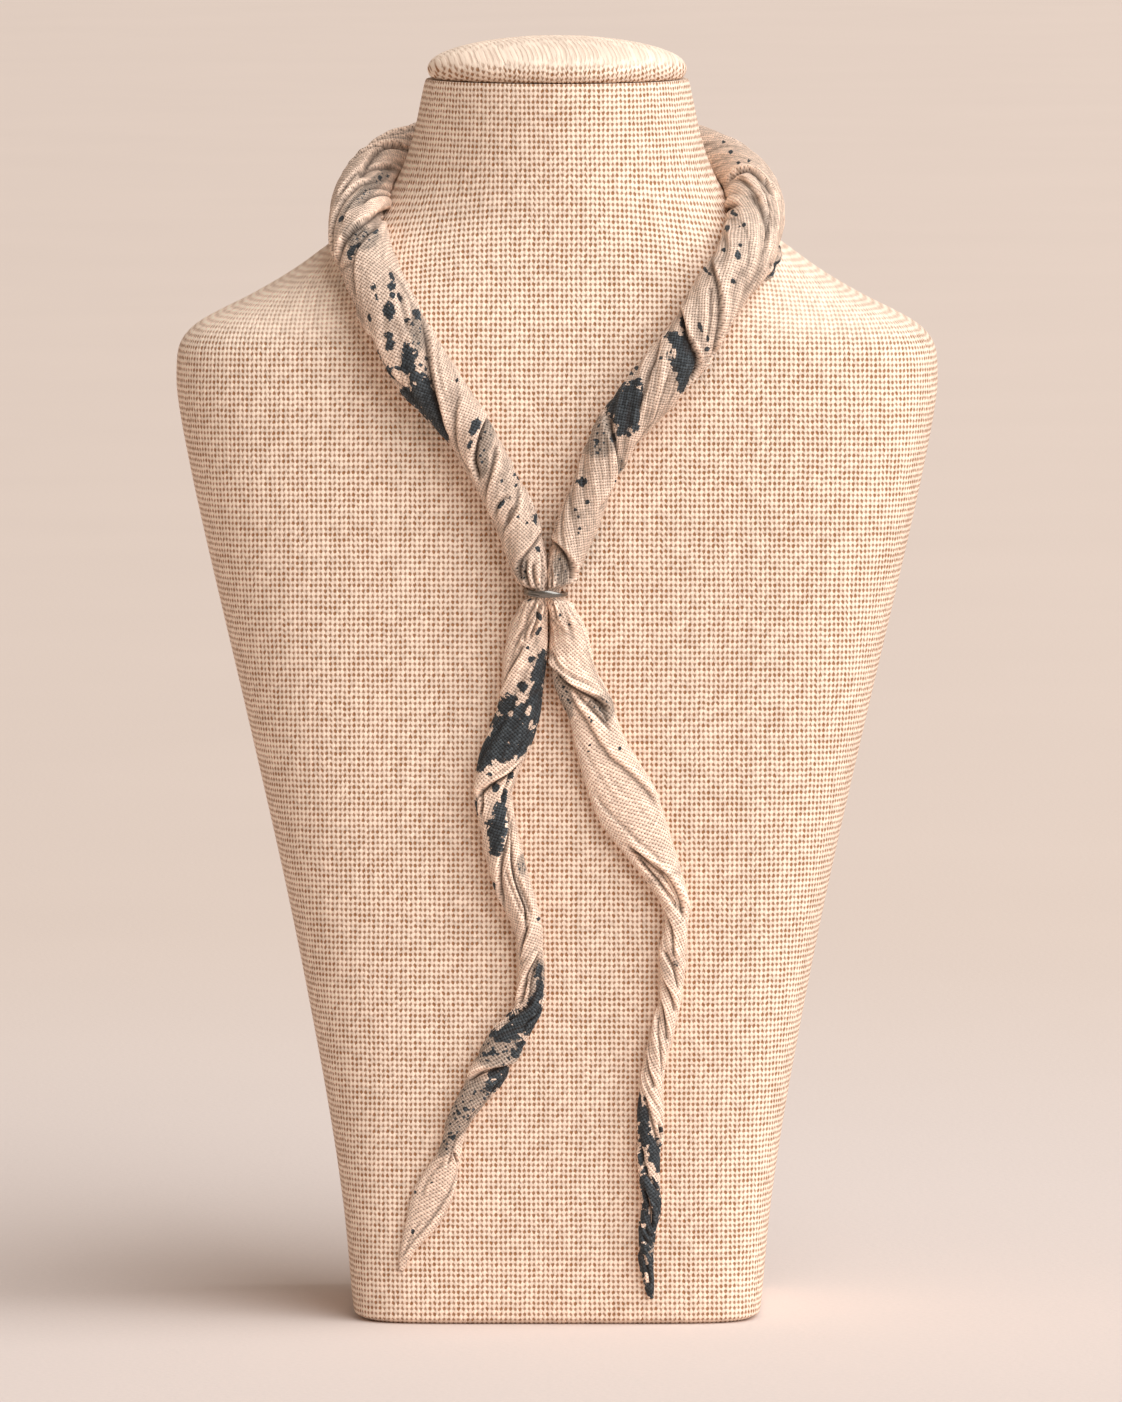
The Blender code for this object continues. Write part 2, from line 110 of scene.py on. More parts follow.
# The linen's pores hardly show where it is seen too flat, on the cap's dome, and half so on the shoulders'
# slope. Each pair is where such a stretch begins or ends, in metres: up the bust, or out from its middle for
# SLOPE_OUT.
DOME_FROM = (0.3128, 0.3150)
SLOPE_FROM = (0.2440, 0.2510)
SLOPE_TO = (0.2820, 0.2700)
SLOPE_OUT = (0.038, 0.064)
# The linen's rows follow the slope of the shoulders more and more between these places out from the middle,
# and draw level again between these heights.
SHOULDER_ACROSS = (20, 75)
LEVEL_HEIGHTS = (256, 296)

# The wrap ring: a wire coil a little longer than one turn, whose right end lies over its left one in front.
# spread is how much further out than the middle of the wire the right end is, and the left end is that much
# further in. tilt is how far the left side of the coil stands up.
RING_MIDDLE = (-3.1, -53.6, 184.7)
RING_COIL_RADIUS = 5.25
RING_SPREAD = 0.65
RING_WIRE_RADIUS = 0.45
RING_TURN_DEGREES = 430
RING_RISE_PER_TURN = -0.36
RING_TILT = 0.45
# Along the coil, in degrees from its middle: where the right end is beaten flat and how widely, over what
# stretch the left side becomes two wires side by side, and the length over which both ends grow thin.
RING_BEATEN_AT = -172
RING_BEATEN_WIDTH = 26
RING_DOUBLE = (20, 70)
RING_END_LENGTH = 46
RING_STEPS = 180
RING_AROUND = 20

# The strands press on each other on this plane. The ring squeezes them to its own hole over the pinch's
# height, where they stand upright, and they widen at the slope above and below it. The ring draws them out
# from the chest over its reach, and gathers them into pleats over the gathers' reach.
CLOTH_GAP = 0.3
CLOTH_SINK = 0.5
PARTING_ACROSS = -2.3
PARTING_GAP = 0.03
PARTING_REACH = 26.0
PINCH_HALF_HEIGHT = 1.2
PINCH_SLOPE = 2.2
PINCH_CLEARANCE = 0.1
UPRIGHT_REACH = 2.5
RING_REACH = 6.0
GATHER_REACH = 6.5

# The collar: the rope from the ring, up the left of the chest, round the neck and down to the ring again.
DrapeRow = namedtuple("DrapeRow", "across height width depth")
LEFT_DRAPE_ROWS = (
    DrapeRow(-5.2, 184.7, 5.4, 8.4),
    DrapeRow(-5.7, 186.7, 6.8, 8.8),
    DrapeRow(-6.5, 190.5, 8.6, 9.4),
    DrapeRow(-8.0, 195.3, 10.0, 9.8),
    DrapeRow(-10.4, 202.7, 10.8, 10.0),
    DrapeRow(-15.2, 212.5, 10.8, 10.0),
    DrapeRow(-20.7, 222.9, 11.4, 10.4),
    DrapeRow(-27.0, 231.3, 13.0, 11.6),
    DrapeRow(-33.6, 239.8, 14.4, 12.6),
    DrapeRow(-38.6, 248.0, 14.6, 13.0),
    DrapeRow(-43.0, 256.3, 14.4, 13.2),
)
NeckRow = namedtuple("NeckRow", "across out height width depth")
NECK_ROWS = (
    NeckRow(-46.6, -37.0, 264.4, 14.4, 13.4),
    NeckRow(-49.3, -27.8, 271.2, 14.6, 13.6),
    NeckRow(-49.8, -15.6, 276.9, 14.8, 14.0),
    NeckRow(-48.2, -2.6, 281.3, 15.2, 14.2),
    NeckRow(-44.6, 11.0, 285.0, 15.6, 14.6),
    NeckRow(-37.6, 24.2, 288.2, 15.8, 14.8),
    NeckRow(-26.4, 34.6, 290.3, 16.0, 15.0),
    NeckRow(-13.2, 40.6, 291.5, 16.0, 15.0),
    NeckRow(0.0, 42.2, 291.8, 16.0, 15.0),
    NeckRow(13.2, 40.6, 291.5, 16.0, 15.0),
    NeckRow(26.4, 34.6, 290.3, 16.0, 15.0),
    NeckRow(37.8, 24.2, 288.0, 15.8, 14.8),
    NeckRow(45.0, 11.0, 284.6, 15.8, 14.6),
    NeckRow(48.6, -2.6, 280.5, 15.6, 14.4),
    NeckRow(49.4, -15.6, 275.7, 15.4, 14.2),
    NeckRow(48.2, -27.2, 270.6, 15.0, 13.8),
    NeckRow(45.2, -36.2, 264.9, 14.2, 13.2),
)
RIGHT_DRAPE_ROWS = (
    DrapeRow(40.9, 259.4, 13.4, 12.4),
    DrapeRow(36.6, 252.4, 12.8, 12.2),
    DrapeRow(32.0, 245.5, 12.8, 12.0),
    DrapeRow(26.4, 238.5, 13.2, 11.8),
    DrapeRow(20.2, 231.0, 12.8, 11.2),
    DrapeRow(14.4, 223.1, 10.8, 10.4),
    DrapeRow(10.0, 213.6, 9.8, 10.0),
    DrapeRow(5.6, 202.8, 10.4, 10.0),
    DrapeRow(2.9, 195.3, 9.0, 9.8),
    DrapeRow(1.3, 190.5, 7.2, 9.2),
    DrapeRow(0.4, 186.7, 5.6, 8.8),
    DrapeRow(-0.5, 184.7, 4.0, 8.4),
)
COLLAR_TURN_LENGTH = 66.0
COLLAR_TURN_CHANGE = 24.0

# The grid of points on the cloth: how many lie round each ring of it, and how far apart the rings are. The
# collar's rings are fine over its first and last stretches, which show from the front, and coarse behind,
# where no gap is under COLLAR_LEAST. PATH_STEPS is how many steps are drawn from row to row.
PATH_STEPS = 16
COLLAR_AROUND = 92
COLLAR_FRONT = 118
COLLAR_FINE = 0.36
COLLAR_COARSE = 0.62
COLLAR_LEAST = 0.3
TAIL_AROUND = 96
TAIL_SPACING = 0.22
# The inside has one ring for so many of the outside's, and ends some rings before a closed tip.
INNER_SPARSE = 5
RINGS_BEFORE_TIP = 6

# The tails, from the ring down. turn is how far the folds have wound round by that row, in degrees.
TailRow = namedtuple("TailRow", "across height width depth turn")
LEFT_TAIL_ROWS = (
    TailRow(-5.2, 184.7, 5.4, 8.4, 0),
    TailRow(-5.4, 182.7, 6.2, 8.6, 4),
    TailRow(-6.1, 179.1, 8.0, 8.8, 16),
    TailRow(-7.0, 174.6, 9.8, 8.8, 32),
    TailRow(-8.3, 164.6, 10.5, 8.2, 66),
    TailRow(-9.8, 153.6, 10.6, 7.4, 102),
    TailRow(-14.0, 142.6, 10.8, 7.2, 140),
    TailRow(-15.8, 134.6, 9.4, 7.4, 176),
    TailRow(-14.6, 126.9, 9.0, 7.6, 222),
    TailRow(-12.6, 116.8, 9.0, 7.4, 292),
    TailRow(-10.3, 109.3, 8.8, 7.0, 350),
    TailRow(-7.6, 102.2, 7.6, 6.4, 410),
    TailRow(-6.6, 94.7, 6.5, 5.8, 476),
    TailRow(-6.4, 86.1, 6.3, 5.6, 552),
    TailRow(-7.4, 79.7, 6.6, 5.6, 610),
    TailRow(-12.8, 72.4, 8.8, 6.0, 690),
    TailRow(-17.1, 63.9, 8.8, 5.8, 780),
    TailRow(-21.4, 57.1, 6.6, 5.4, 850),
    TailRow(-24.9, 50.6, 5.2, 4.8, 920),
    TailRow(-26.8, 43.9, 5.4, 4.2, 985),
    TailRow(-29.0, 38.1, 8.2, 3.6, 1010),
    TailRow(-31.2, 32.8, 9.8, 3.0, 1025),
    TailRow(-33.6, 26.7, 8.2, 2.6, 1040),
    TailRow(-36.8, 20.5, 4.4, 2.2, 1050),
    TailRow(-39.0, 14.0, 1.6, 1.4, 1060),
)
RIGHT_TAIL_ROWS = (
    TailRow(-0.5, 184.7, 4.0, 8.4, 0),
    TailRow(0.2, 182.7, 5.2, 8.4, -4),
    TailRow(1.2, 179.1, 6.6, 8.4, -12),
    TailRow(2.8, 174.6, 8.6, 8.0, -22),
    TailRow(4.2, 164.6, 11.0, 7.2, -44),
    TailRow(8.4, 154.6, 11.4, 6.2, -64),
    TailRow(10.8, 146.4, 12.6, 5.6, -80),
    TailRow(14.0, 138.4, 14.6, 5.2, -94),
    TailRow(17.8, 130.4, 15.7, 5.0, -108),
    TailRow(22.2, 122.3, 12.8, 5.2, -126),
    TailRow(26.2, 114.7, 9.4, 5.4, -146),
    TailRow(28.8, 108.5, 6.8, 5.2, -170),
    TailRow(29.6, 102.2, 5.8, 5.0, -230),
    TailRow(28.7, 93.7, 6.6, 5.2, -320),
    TailRow(28.3, 83.7, 5.5, 4.8, -430),
    TailRow(26.2, 74.2, 5.6, 4.8, -540),
    TailRow(24.1, 65.6, 5.6, 4.8, -640),
    TailRow(23.4, 58.9, 6.0, 4.9, -715),
    TailRow(23.2, 52.8, 6.5, 5.0, -780),
    TailRow(23.0, 40.7, 5.4, 4.6, -920),
    TailRow(23.5, 31.0, 4.8, 4.2, -1030),
    TailRow(22.5, 23.9, 4.2, 3.8, -1110),
    TailRow(22.3, 16.0, 3.6, 3.2, -1200),
    TailRow(22.9, 10.9, 2.8, 2.6, -1260),
    TailRow(23.5, 6.9, 1.4, 1.4, -1310),
)

# The cloth's relief. RELIEF scales every crease, and no point ends lower or higher than the two limits. A
# point's tone is a painted highlight and shade: it follows how far the point stands above the cloth round
# it, which is found by averaging its neighbours BLUR_STEPS times, and is full at PROUD_HEIGHT.
RELIEF = 1.45
LOWEST = -1.7
HIGHEST = 1.5
BLUR_STEPS = 14
PROUD_HEIGHT = 0.34

# The creases that show from the front. A crease is drawn through its points, which are places across and up
# in the front view. over says on which hand of that line the lap on top lies, or NEITHER for a soft trough.
# lip is how far the lap stands up, groove is how deep the line under it is and how dark the shade painted
# along it is, and reach is how far from the line the cloth takes to lie flat again.
LEFT_HAND = 1
RIGHT_HAND = -1
NEITHER = 0
Crease = namedtuple("Crease", "name over lip groove reach points")
COLLAR_CREASES = (
    Crease("left neck arch", LEFT_HAND, 0.7, 0.9, 2.4, (
        (-49.8, 285.3), (-47.8, 288.0), (-45.7, 290.7), (-43.2, 292.3), (-40.2, 292.4), (-37.2, 290.6))),
    Crease("left neck fold", RIGHT_HAND, 0.9, 0.9, 3.2, (
        (-41.0, 277.3), (-44.3, 277.3), (-47.2, 276.2), (-50.5, 274.0), (-52.9, 271.4), (-54.1, 268.4),
        (-54.5, 265.0))),
    Crease("left belly edge", LEFT_HAND, 0.7, 0.7, 3.0, (
        (-42.8, 275.5), (-45.7, 273.8), (-48.3, 271.1), (-49.8, 268.4), (-50.5, 264.3), (-50.0, 258.7),
        (-48.9, 251.4), (-44.6, 246.0), (-41.0, 239.5), (-34.7, 232.0))),
    Crease("left neck cross fold", LEFT_HAND, 0.3, 0.3, 1.4, (
        (-54.6, 263.3), (-52.4, 265.0), (-50.4, 266.4))),
    Crease("left neck slit", LEFT_HAND, 0.2, 0.7, 1.2, (
        (-53.3, 263.7), (-52.7, 260.1), (-51.2, 256.6))),
    Crease("left neck shadow", NEITHER, 0.1, 0.5, 1.6, (
        (-50.6, 272.4), (-48.5, 274.4), (-46.4, 275.1))),
    Crease("left inner rim", LEFT_HAND, 0.4, 0.25, 1.8, (
        (-41.7, 264.8), (-40.2, 263.3), (-37.7, 259.4), (-34.9, 254.1))),
    Crease("left soft one", NEITHER, 0.2, 0.35, 1.6, (
        (-39.0, 259.2), (-38.4, 256.8), (-37.3, 252.1), (-35.9, 248.2))),
    Crease("left soft two", NEITHER, 0.15, 0.35, 1.4, ((-36.2, 255.7), (-35.1, 251.0), (-34.4, 246.8))),
    Crease("left patch lip", LEFT_HAND, 0.9, 1.0, 3.4, (
        (-32.5, 252.0), (-31.6, 245.0), (-30.9, 238.1), (-29.6, 231.6), (-28.3, 226.9), (-26.5, 222.3))),
    Crease("left second lap", LEFT_HAND, 0.3, 0.3, 1.6, (
        (-29.4, 246.4), (-29.5, 242.4), (-28.7, 236.7), (-28.4, 233.5))),
    Crease("left third lap", LEFT_HAND, 0.45, 0.45, 2.2, (
        (-24.3, 234.7), (-25.1, 228.0), (-24.9, 222.2), (-23.0, 217.5), (-20.6, 214.2))),
    Crease("left recess", RIGHT_HAND, 0.6, 1.2, 2.4, (
        (-17.1, 228.1), (-18.8, 224.4), (-20.1, 220.4), (-20.6, 217.9), (-20.1, 214.6), (-19.2, 212.0))),
    Crease("left lower lap", LEFT_HAND, 0.7, 0.7, 2.6, (
        (-14.5, 222.2), (-15.4, 217.7), (-16.5, 214.2), (-17.5, 210.7), (-17.6, 207.8), (-17.0, 204.8),
        (-15.6, 202.0))),
    Crease("left lower arc", NEITHER, 0.15, 0.3, 1.0, (
        (-11.6, 208.6), (-13.0, 208.4), (-14.5, 206.7), (-15.4, 203.5))),
    Crease("left lower slit", RIGHT_HAND, 0.25, 0.6, 1.2, (
        (-10.8, 206.4), (-12.2, 203.8), (-13.0, 201.6))),
    Crease("left ring lap", LEFT_HAND, 0.55, 0.5, 2.2, (
        (-9.2, 211.3), (-9.6, 207.8), (-10.6, 205.0), (-11.9, 202.7), (-13.1, 200.8), (-13.4, 198.5))),
    Crease("left gather edge", RIGHT_HAND, 0.5, 0.7, 1.8, (
        (-3.6, 200.8), (-4.5, 198.4), (-5.9, 196.6), (-7.6, 194.7), (-9.1, 192.5), (-9.5, 190.3),
        (-8.2, 187.4))),
    Crease("left gather one", NEITHER, 0.2, 0.6, 0.9, ((-7.4, 193.7), (-7.8, 190.1), (-6.9, 186.3))),
    Crease("left gather two", NEITHER, 0.2, 0.7, 0.9, ((-5.6, 192.7), (-5.8, 189.3), (-5.0, 186.3))),
    Crease("left gather three", NEITHER, 0.2, 0.6, 0.9, ((-3.9, 194.6), (-3.6, 190.5), (-3.8, 186.5))),
    Crease("right neck arch", LEFT_HAND, 0.9, 0.9, 2.6, (
        (42.4, 283.5), (43.6, 285.4), (45.8, 286.8), (48.4, 287.1), (50.9, 285.5), (53.1, 283.4),
        (54.2, 280.8))),
    Crease("right inner arch", LEFT_HAND, 0.5, 0.6, 1.8, (
        (43.8, 284.5), (45.8, 285.3), (47.6, 284.0), (49.5, 281.7), (51.0, 279.2))),
    Crease("right long line", RIGHT_HAND, 0.5, 1.1, 1.8, (
        (50.0, 285.4), (51.5, 282.7), (52.5, 278.9), (52.8, 274.6), (52.1, 270.6), (51.2, 266.7))),
    Crease("right outer wrap", NEITHER, 0.3, 0.4, 1.2, ((53.2, 281.9), (54.4, 277.6), (54.2, 273.1))),
    Crease("right big fold", LEFT_HAND, 0.7, 0.8, 3.0, (
        (37.9, 266.4), (39.4, 261.9), (40.3, 258.0), (40.5, 253.9), (40.2, 249.4), (38.7, 244.0),
        (35.9, 241.3))),
    Crease("right thin line", RIGHT_HAND, 0.3, 0.55, 1.4, (
        (37.8, 261.1), (38.0, 257.1), (38.1, 253.9), (37.9, 250.6), (37.4, 247.3))),
    Crease("right patch lip", LEFT_HAND, 0.8, 1.0, 2.8, (
        (30.4, 255.3), (31.8, 249.4), (33.5, 245.8), (34.9, 243.0), (35.0, 240.5), (33.9, 238.1),
        (31.8, 235.2))),
    Crease("right light fold", LEFT_HAND, 0.5, 0.7, 2.2, (
        (25.8, 247.8), (23.9, 242.2), (22.7, 238.9), (21.7, 234.8), (20.8, 231.6), (20.4, 228.7))),
    Crease("right light rim", RIGHT_HAND, 0.4, 0.45, 2.0, (
        (27.9, 239.6), (26.2, 234.8), (25.2, 231.6), (24.2, 228.1), (22.1, 224.8), (19.0, 221.5))),
    Crease("right lower lap", RIGHT_HAND, 0.9, 1.1, 2.8, (
        (12.0, 229.4), (13.2, 224.8), (14.4, 221.7), (15.0, 218.8), (15.0, 215.5), (14.4, 212.6),
        (12.8, 209.2), (10.5, 205.2))),
    Crease("right under fold", LEFT_HAND, 0.3, 0.4, 1.2, ((17.3, 223.9), (17.0, 218.9), (15.8, 214.0))),
    Crease("right ring lip", LEFT_HAND, 0.8, 1.0, 2.6, (
        (-2.2, 198.2), (-0.1, 196.6), (2.1, 194.4), (3.6, 192.1), (4.1, 189.6), (2.9, 186.5))),
    Crease("right gather one", NEITHER, 0.15, 0.4, 0.9, ((-1.2, 194.3), (-1.1, 190.3), (-0.8, 186.3))),
    Crease("right gather two", NEITHER, 0.15, 0.4, 0.9, ((0.8, 192.8), (1.1, 189.8), (0.6, 186.3))),
)
LEFT_TAIL_CREASES = (
    Crease("pleat one", NEITHER, 0.2, 0.5, 1.0, (
        (-4.9, 183.3), (-6.8, 179.5), (-7.9, 176.5), (-9.4, 173.6), (-10.3, 171.8))),
    Crease("pleat two", NEITHER, 0.2, 0.7, 0.9, (
        (-4.0, 183.3), (-4.9, 180.4), (-6.7, 177.3), (-7.9, 174.5), (-8.1, 172.3))),
    Crease("pleat three", NEITHER, 0.25, 0.9, 0.9, (
        (-3.4, 182.7), (-4.5, 180.0), (-5.0, 178.0), (-5.9, 175.4), (-6.7, 173.2))),
    Crease("band edge", LEFT_HAND, 0.6, 0.6, 2.4, (
        (-8.1, 172.8), (-9.2, 170.0), (-10.5, 167.8), (-11.9, 165.4), (-13.0, 162.9), (-13.9, 160.7),
        (-14.8, 158.4))),
    Crease("band rib", LEFT_HAND, 0.3, 0.25, 1.2, (
        (-4.3, 169.4), (-7.2, 165.6), (-9.6, 161.3), (-11.6, 158.8))),
    Crease("band hem", RIGHT_HAND, 0.2, 0.25, 1.0, (
        (-7.0, 145.3), (-9.9, 143.0), (-13.3, 140.7), (-15.9, 139.0), (-18.2, 136.7))),
    Crease("band lip", RIGHT_HAND, 0.9, 1.1, 2.4, (
        (-8.4, 143.0), (-11.9, 139.5), (-14.5, 138.0), (-17.1, 136.5), (-18.7, 135.2), (-19.8, 133.2))),
    Crease("loop gap", NEITHER, 0.3, 1.1, 0.8, ((-18.9, 134.6), (-18.5, 132.1), (-18.8, 129.2))),
    Crease("under band", NEITHER, 0.2, 0.4, 0.9, (
        (-10.5, 140.7), (-11.9, 137.8), (-13.1, 135.2), (-13.6, 132.4))),
    Crease("patch edge", RIGHT_HAND, 0.6, 0.9, 1.8, (
        (-12.3, 131.5), (-11.9, 128.4), (-11.7, 126.9), (-12.2, 123.4), (-13.1, 120.5), (-13.9, 117.6),
        (-14.3, 113.5), (-14.1, 109.2), (-13.1, 105.8))),
    Crease("middle lap", RIGHT_HAND, 0.5, 1.1, 1.6, (
        (-10.7, 128.9), (-10.9, 123.4), (-11.1, 118.1), (-10.7, 114.3), (-9.9, 111.2), (-8.8, 108.3),
        (-7.9, 105.5), (-7.8, 101.6), (-7.3, 99.9))),
    Crease("middle line", NEITHER, 0.2, 0.35, 0.9, (
        (-12.8, 116.1), (-11.9, 112.9), (-10.8, 110.1), (-9.3, 106.3), (-8.2, 103.4))),
    Crease("outer line", NEITHER, 0.2, 0.4, 0.9, (
        (-9.6, 114.3), (-8.6, 110.8), (-7.2, 107.3), (-6.2, 103.7))),
    Crease("round fold", LEFT_HAND, 0.6, 0.8, 1.6, (
        (-7.0, 101.6), (-7.9, 99.3), (-8.8, 96.5), (-9.4, 93.0))),
    Crease("lower lap", RIGHT_HAND, 0.6, 0.9, 1.6, (
        (-4.2, 94.8), (-5.6, 92.2), (-7.3, 89.6), (-8.2, 86.6), (-8.8, 83.8), (-9.6, 80.9))),
    Crease("lower line", RIGHT_HAND, 0.3, 0.5, 1.0, (
        (-3.8, 93.4), (-5.3, 91.0), (-6.5, 87.8), (-7.0, 84.0), (-8.2, 82.3))),
    Crease("dark fold", LEFT_HAND, 0.5, 0.5, 1.6, (
        (-5.6, 82.5), (-8.2, 80.6), (-9.9, 79.4), (-11.6, 78.0), (-13.6, 76.0))),
    Crease("dark line", NEITHER, 0.15, 0.4, 0.8, (
        (-4.6, 80.5), (-5.2, 78.7), (-7.3, 77.0), (-8.3, 75.1))),
    Crease("speckle lip", RIGHT_HAND, 0.9, 1.1, 2.2, (
        (-8.3, 71.0), (-9.4, 68.2), (-10.8, 66.7), (-12.9, 65.9), (-15.4, 65.4), (-18.2, 64.8),
        (-20.5, 63.8), (-22.6, 62.1))),
    Crease("grey fold", RIGHT_HAND, 0.45, 0.6, 1.4, (
        (-14.4, 62.1), (-15.9, 59.9), (-18.0, 56.9), (-20.0, 54.8), (-21.5, 53.0), (-22.6, 50.4))),
    Crease("leaf start", RIGHT_HAND, 0.4, 0.5, 1.2, (
        (-22.6, 49.9), (-24.7, 48.0), (-25.8, 45.5), (-26.6, 42.7), (-27.4, 40.5))),
    Crease("leaf hole", NEITHER, 0.2, 0.8, 0.6, ((-25.6, 44.1), (-25.2, 42.7), (-24.8, 41.3))),
    Crease("leaf rim", LEFT_HAND, 0.45, 0.4, 1.4, (
        (-24.9, 41.1), (-24.9, 38.7), (-25.6, 36.5), (-26.8, 33.8), (-28.4, 31.2), (-30.0, 28.7),
        (-32.0, 26.0), (-34.0, 23.6), (-36.1, 21.2), (-37.8, 18.6), (-39.1, 16.0))),
    Crease("leaf soft", NEITHER, 0.15, 0.25, 1.2, (
        (-28.0, 41.9), (-30.7, 39.1), (-32.6, 36.3), (-33.9, 32.8))),
    Crease("leaf end", NEITHER, 0.1, 0.25, 0.8, (
        (-33.8, 26.7), (-35.8, 23.9), (-37.4, 20.5), (-38.6, 17.0))),
)
RIGHT_TAIL_CREASES = (
    Crease("top line", NEITHER, 0.2, 0.5, 0.9, ((-1.4, 183.3), (-0.7, 181.1), (-0.3, 177.7))),
    Crease("top soft", NEITHER, 0.15, 0.3, 1.2, ((0.8, 183.3), (2.2, 179.9), (3.6, 175.0))),
    Crease("wrap hem", LEFT_HAND, 0.2, 0.3, 1.0, (
        (-1.8, 170.9), (-0.3, 168.5), (1.3, 166.2), (4.0, 164.0), (7.5, 162.2), (9.6, 160.8),
        (11.2, 159.0))),
    Crease("wrap lip", LEFT_HAND, 1.0, 1.1, 2.6, (
        (-2.0, 169.4), (-1.4, 166.7), (0.0, 164.7), (1.7, 162.9), (3.3, 161.6), (5.3, 160.4), (8.0, 159.2),
        (10.2, 157.9), (11.8, 156.2), (12.9, 153.8))),
    Crease("inner line", RIGHT_HAND, 0.35, 0.6, 1.2, (
        (3.6, 160.9), (6.4, 157.8), (9.2, 154.8), (11.8, 152.0), (13.6, 149.8))),
    Crease("inner shade", NEITHER, 0.1, 0.5, 0.8, (
        (8.6, 158.4), (10.6, 156.4), (11.8, 154.4), (12.6, 152.2))),
    Crease("leaf ridge", LEFT_HAND, 0.6, 0.4, 3.2, (
        (2.1, 160.7), (4.6, 156.6), (7.2, 153.0), (9.2, 149.4), (11.5, 145.9), (13.6, 143.3), (16.1, 141.3),
        (18.8, 138.8), (21.4, 136.1), (23.6, 133.4), (25.0, 130.0))),
    Crease("leaf left rib", NEITHER, 0.05, 0.08, 1.2, (
        (5.2, 148.4), (8.6, 142.0), (12.4, 135.8), (15.6, 131.4))),
    Crease("leaf middle rib", NEITHER, 0.05, 0.07, 1.2, (
        (11.4, 140.8), (15.0, 136.2), (19.4, 132.0), (23.4, 126.8))),
    Crease("leaf edge hem", RIGHT_HAND, 0.2, 0.3, 0.9, (
        (9.0, 135.4), (11.0, 131.8), (13.6, 129.0), (16.6, 125.9), (20.0, 122.7), (23.6, 119.7),
        (26.8, 116.5))),
    Crease("leaf lip", LEFT_HAND, 0.9, 1.3, 1.8, (
        (17.4, 121.5), (19.9, 119.5), (22.6, 117.5), (24.6, 116.1), (26.8, 114.2), (28.5, 111.9),
        (30.1, 109.0), (31.2, 105.8), (31.2, 103.1))),
    Crease("slit", RIGHT_HAND, 0.35, 0.9, 1.0, (
        (19.4, 118.7), (21.9, 115.8), (24.5, 112.9), (26.7, 110.1), (28.7, 107.5), (29.9, 105.1))),
    Crease("twist one", LEFT_HAND, 0.55, 0.6, 1.4, (
        (26.7, 105.0), (28.1, 101.4), (28.7, 98.2), (29.0, 94.8), (29.5, 92.6))),
    Crease("twist two", RIGHT_HAND, 0.5, 0.7, 1.4, (
        (25.9, 95.4), (27.8, 92.5), (29.0, 90.2), (29.8, 87.5), (30.4, 84.9))),
    Crease("twist three", LEFT_HAND, 0.55, 0.7, 1.4, (
        (26.0, 88.1), (27.0, 86.1), (28.2, 83.9), (29.1, 81.5), (29.5, 79.3))),
    Crease("twist four", LEFT_HAND, 0.35, 0.7, 1.1, (
        (25.6, 82.5), (26.4, 79.2), (27.2, 75.4), (27.6, 71.9))),
    Crease("twist five", RIGHT_HAND, 0.4, 0.5, 1.1, (
        (25.1, 80.0), (24.9, 75.9), (25.5, 71.6), (26.0, 67.3), (26.1, 62.9))),
    Crease("twist six", LEFT_HAND, 0.45, 0.6, 1.1, (
        (22.1, 69.0), (22.6, 65.3), (23.7, 62.3), (24.4, 60.0))),
    Crease("twist seven", LEFT_HAND, 0.55, 0.6, 1.2, (
        (21.6, 58.9), (22.8, 54.9), (24.0, 51.2), (24.9, 48.1), (25.3, 45.0))),
    Crease("twist eight", NEITHER, 0.2, 0.5, 0.8, ((25.2, 51.8), (25.7, 48.3), (25.3, 45.4))),
    Crease("twist nine", RIGHT_HAND, 0.45, 0.6, 1.2, (
        (20.8, 45.6), (21.3, 42.0), (22.0, 39.5), (23.3, 37.3), (24.9, 35.0), (25.6, 33.2))),
    Crease("end one", LEFT_HAND, 0.6, 1.0, 1.3, (
        (21.3, 35.9), (22.6, 32.3), (23.4, 29.6), (23.8, 27.1), (24.1, 24.6))),
    Crease("end two", RIGHT_HAND, 0.3, 0.4, 0.9, ((21.7, 25.5), (22.6, 23.9), (23.8, 22.5))),
    Crease("end three", RIGHT_HAND, 0.3, 0.4, 0.9, ((21.3, 23.2), (22.4, 21.7), (23.6, 20.2))),
    Crease("end four", NEITHER, 0.15, 0.4, 0.8, (
        (21.4, 18.7), (22.0, 16.4), (22.7, 14.3), (23.1, 12.4), (23.1, 9.9))),
)

# A hem's stitches: from one to the next, the half sizes of one, and how far its middle is above the cloth
STITCH_SPACING = 1.15
STITCH_SIZE = (0.42, 0.12, 0.09)
STITCH_LIFT = 0.03
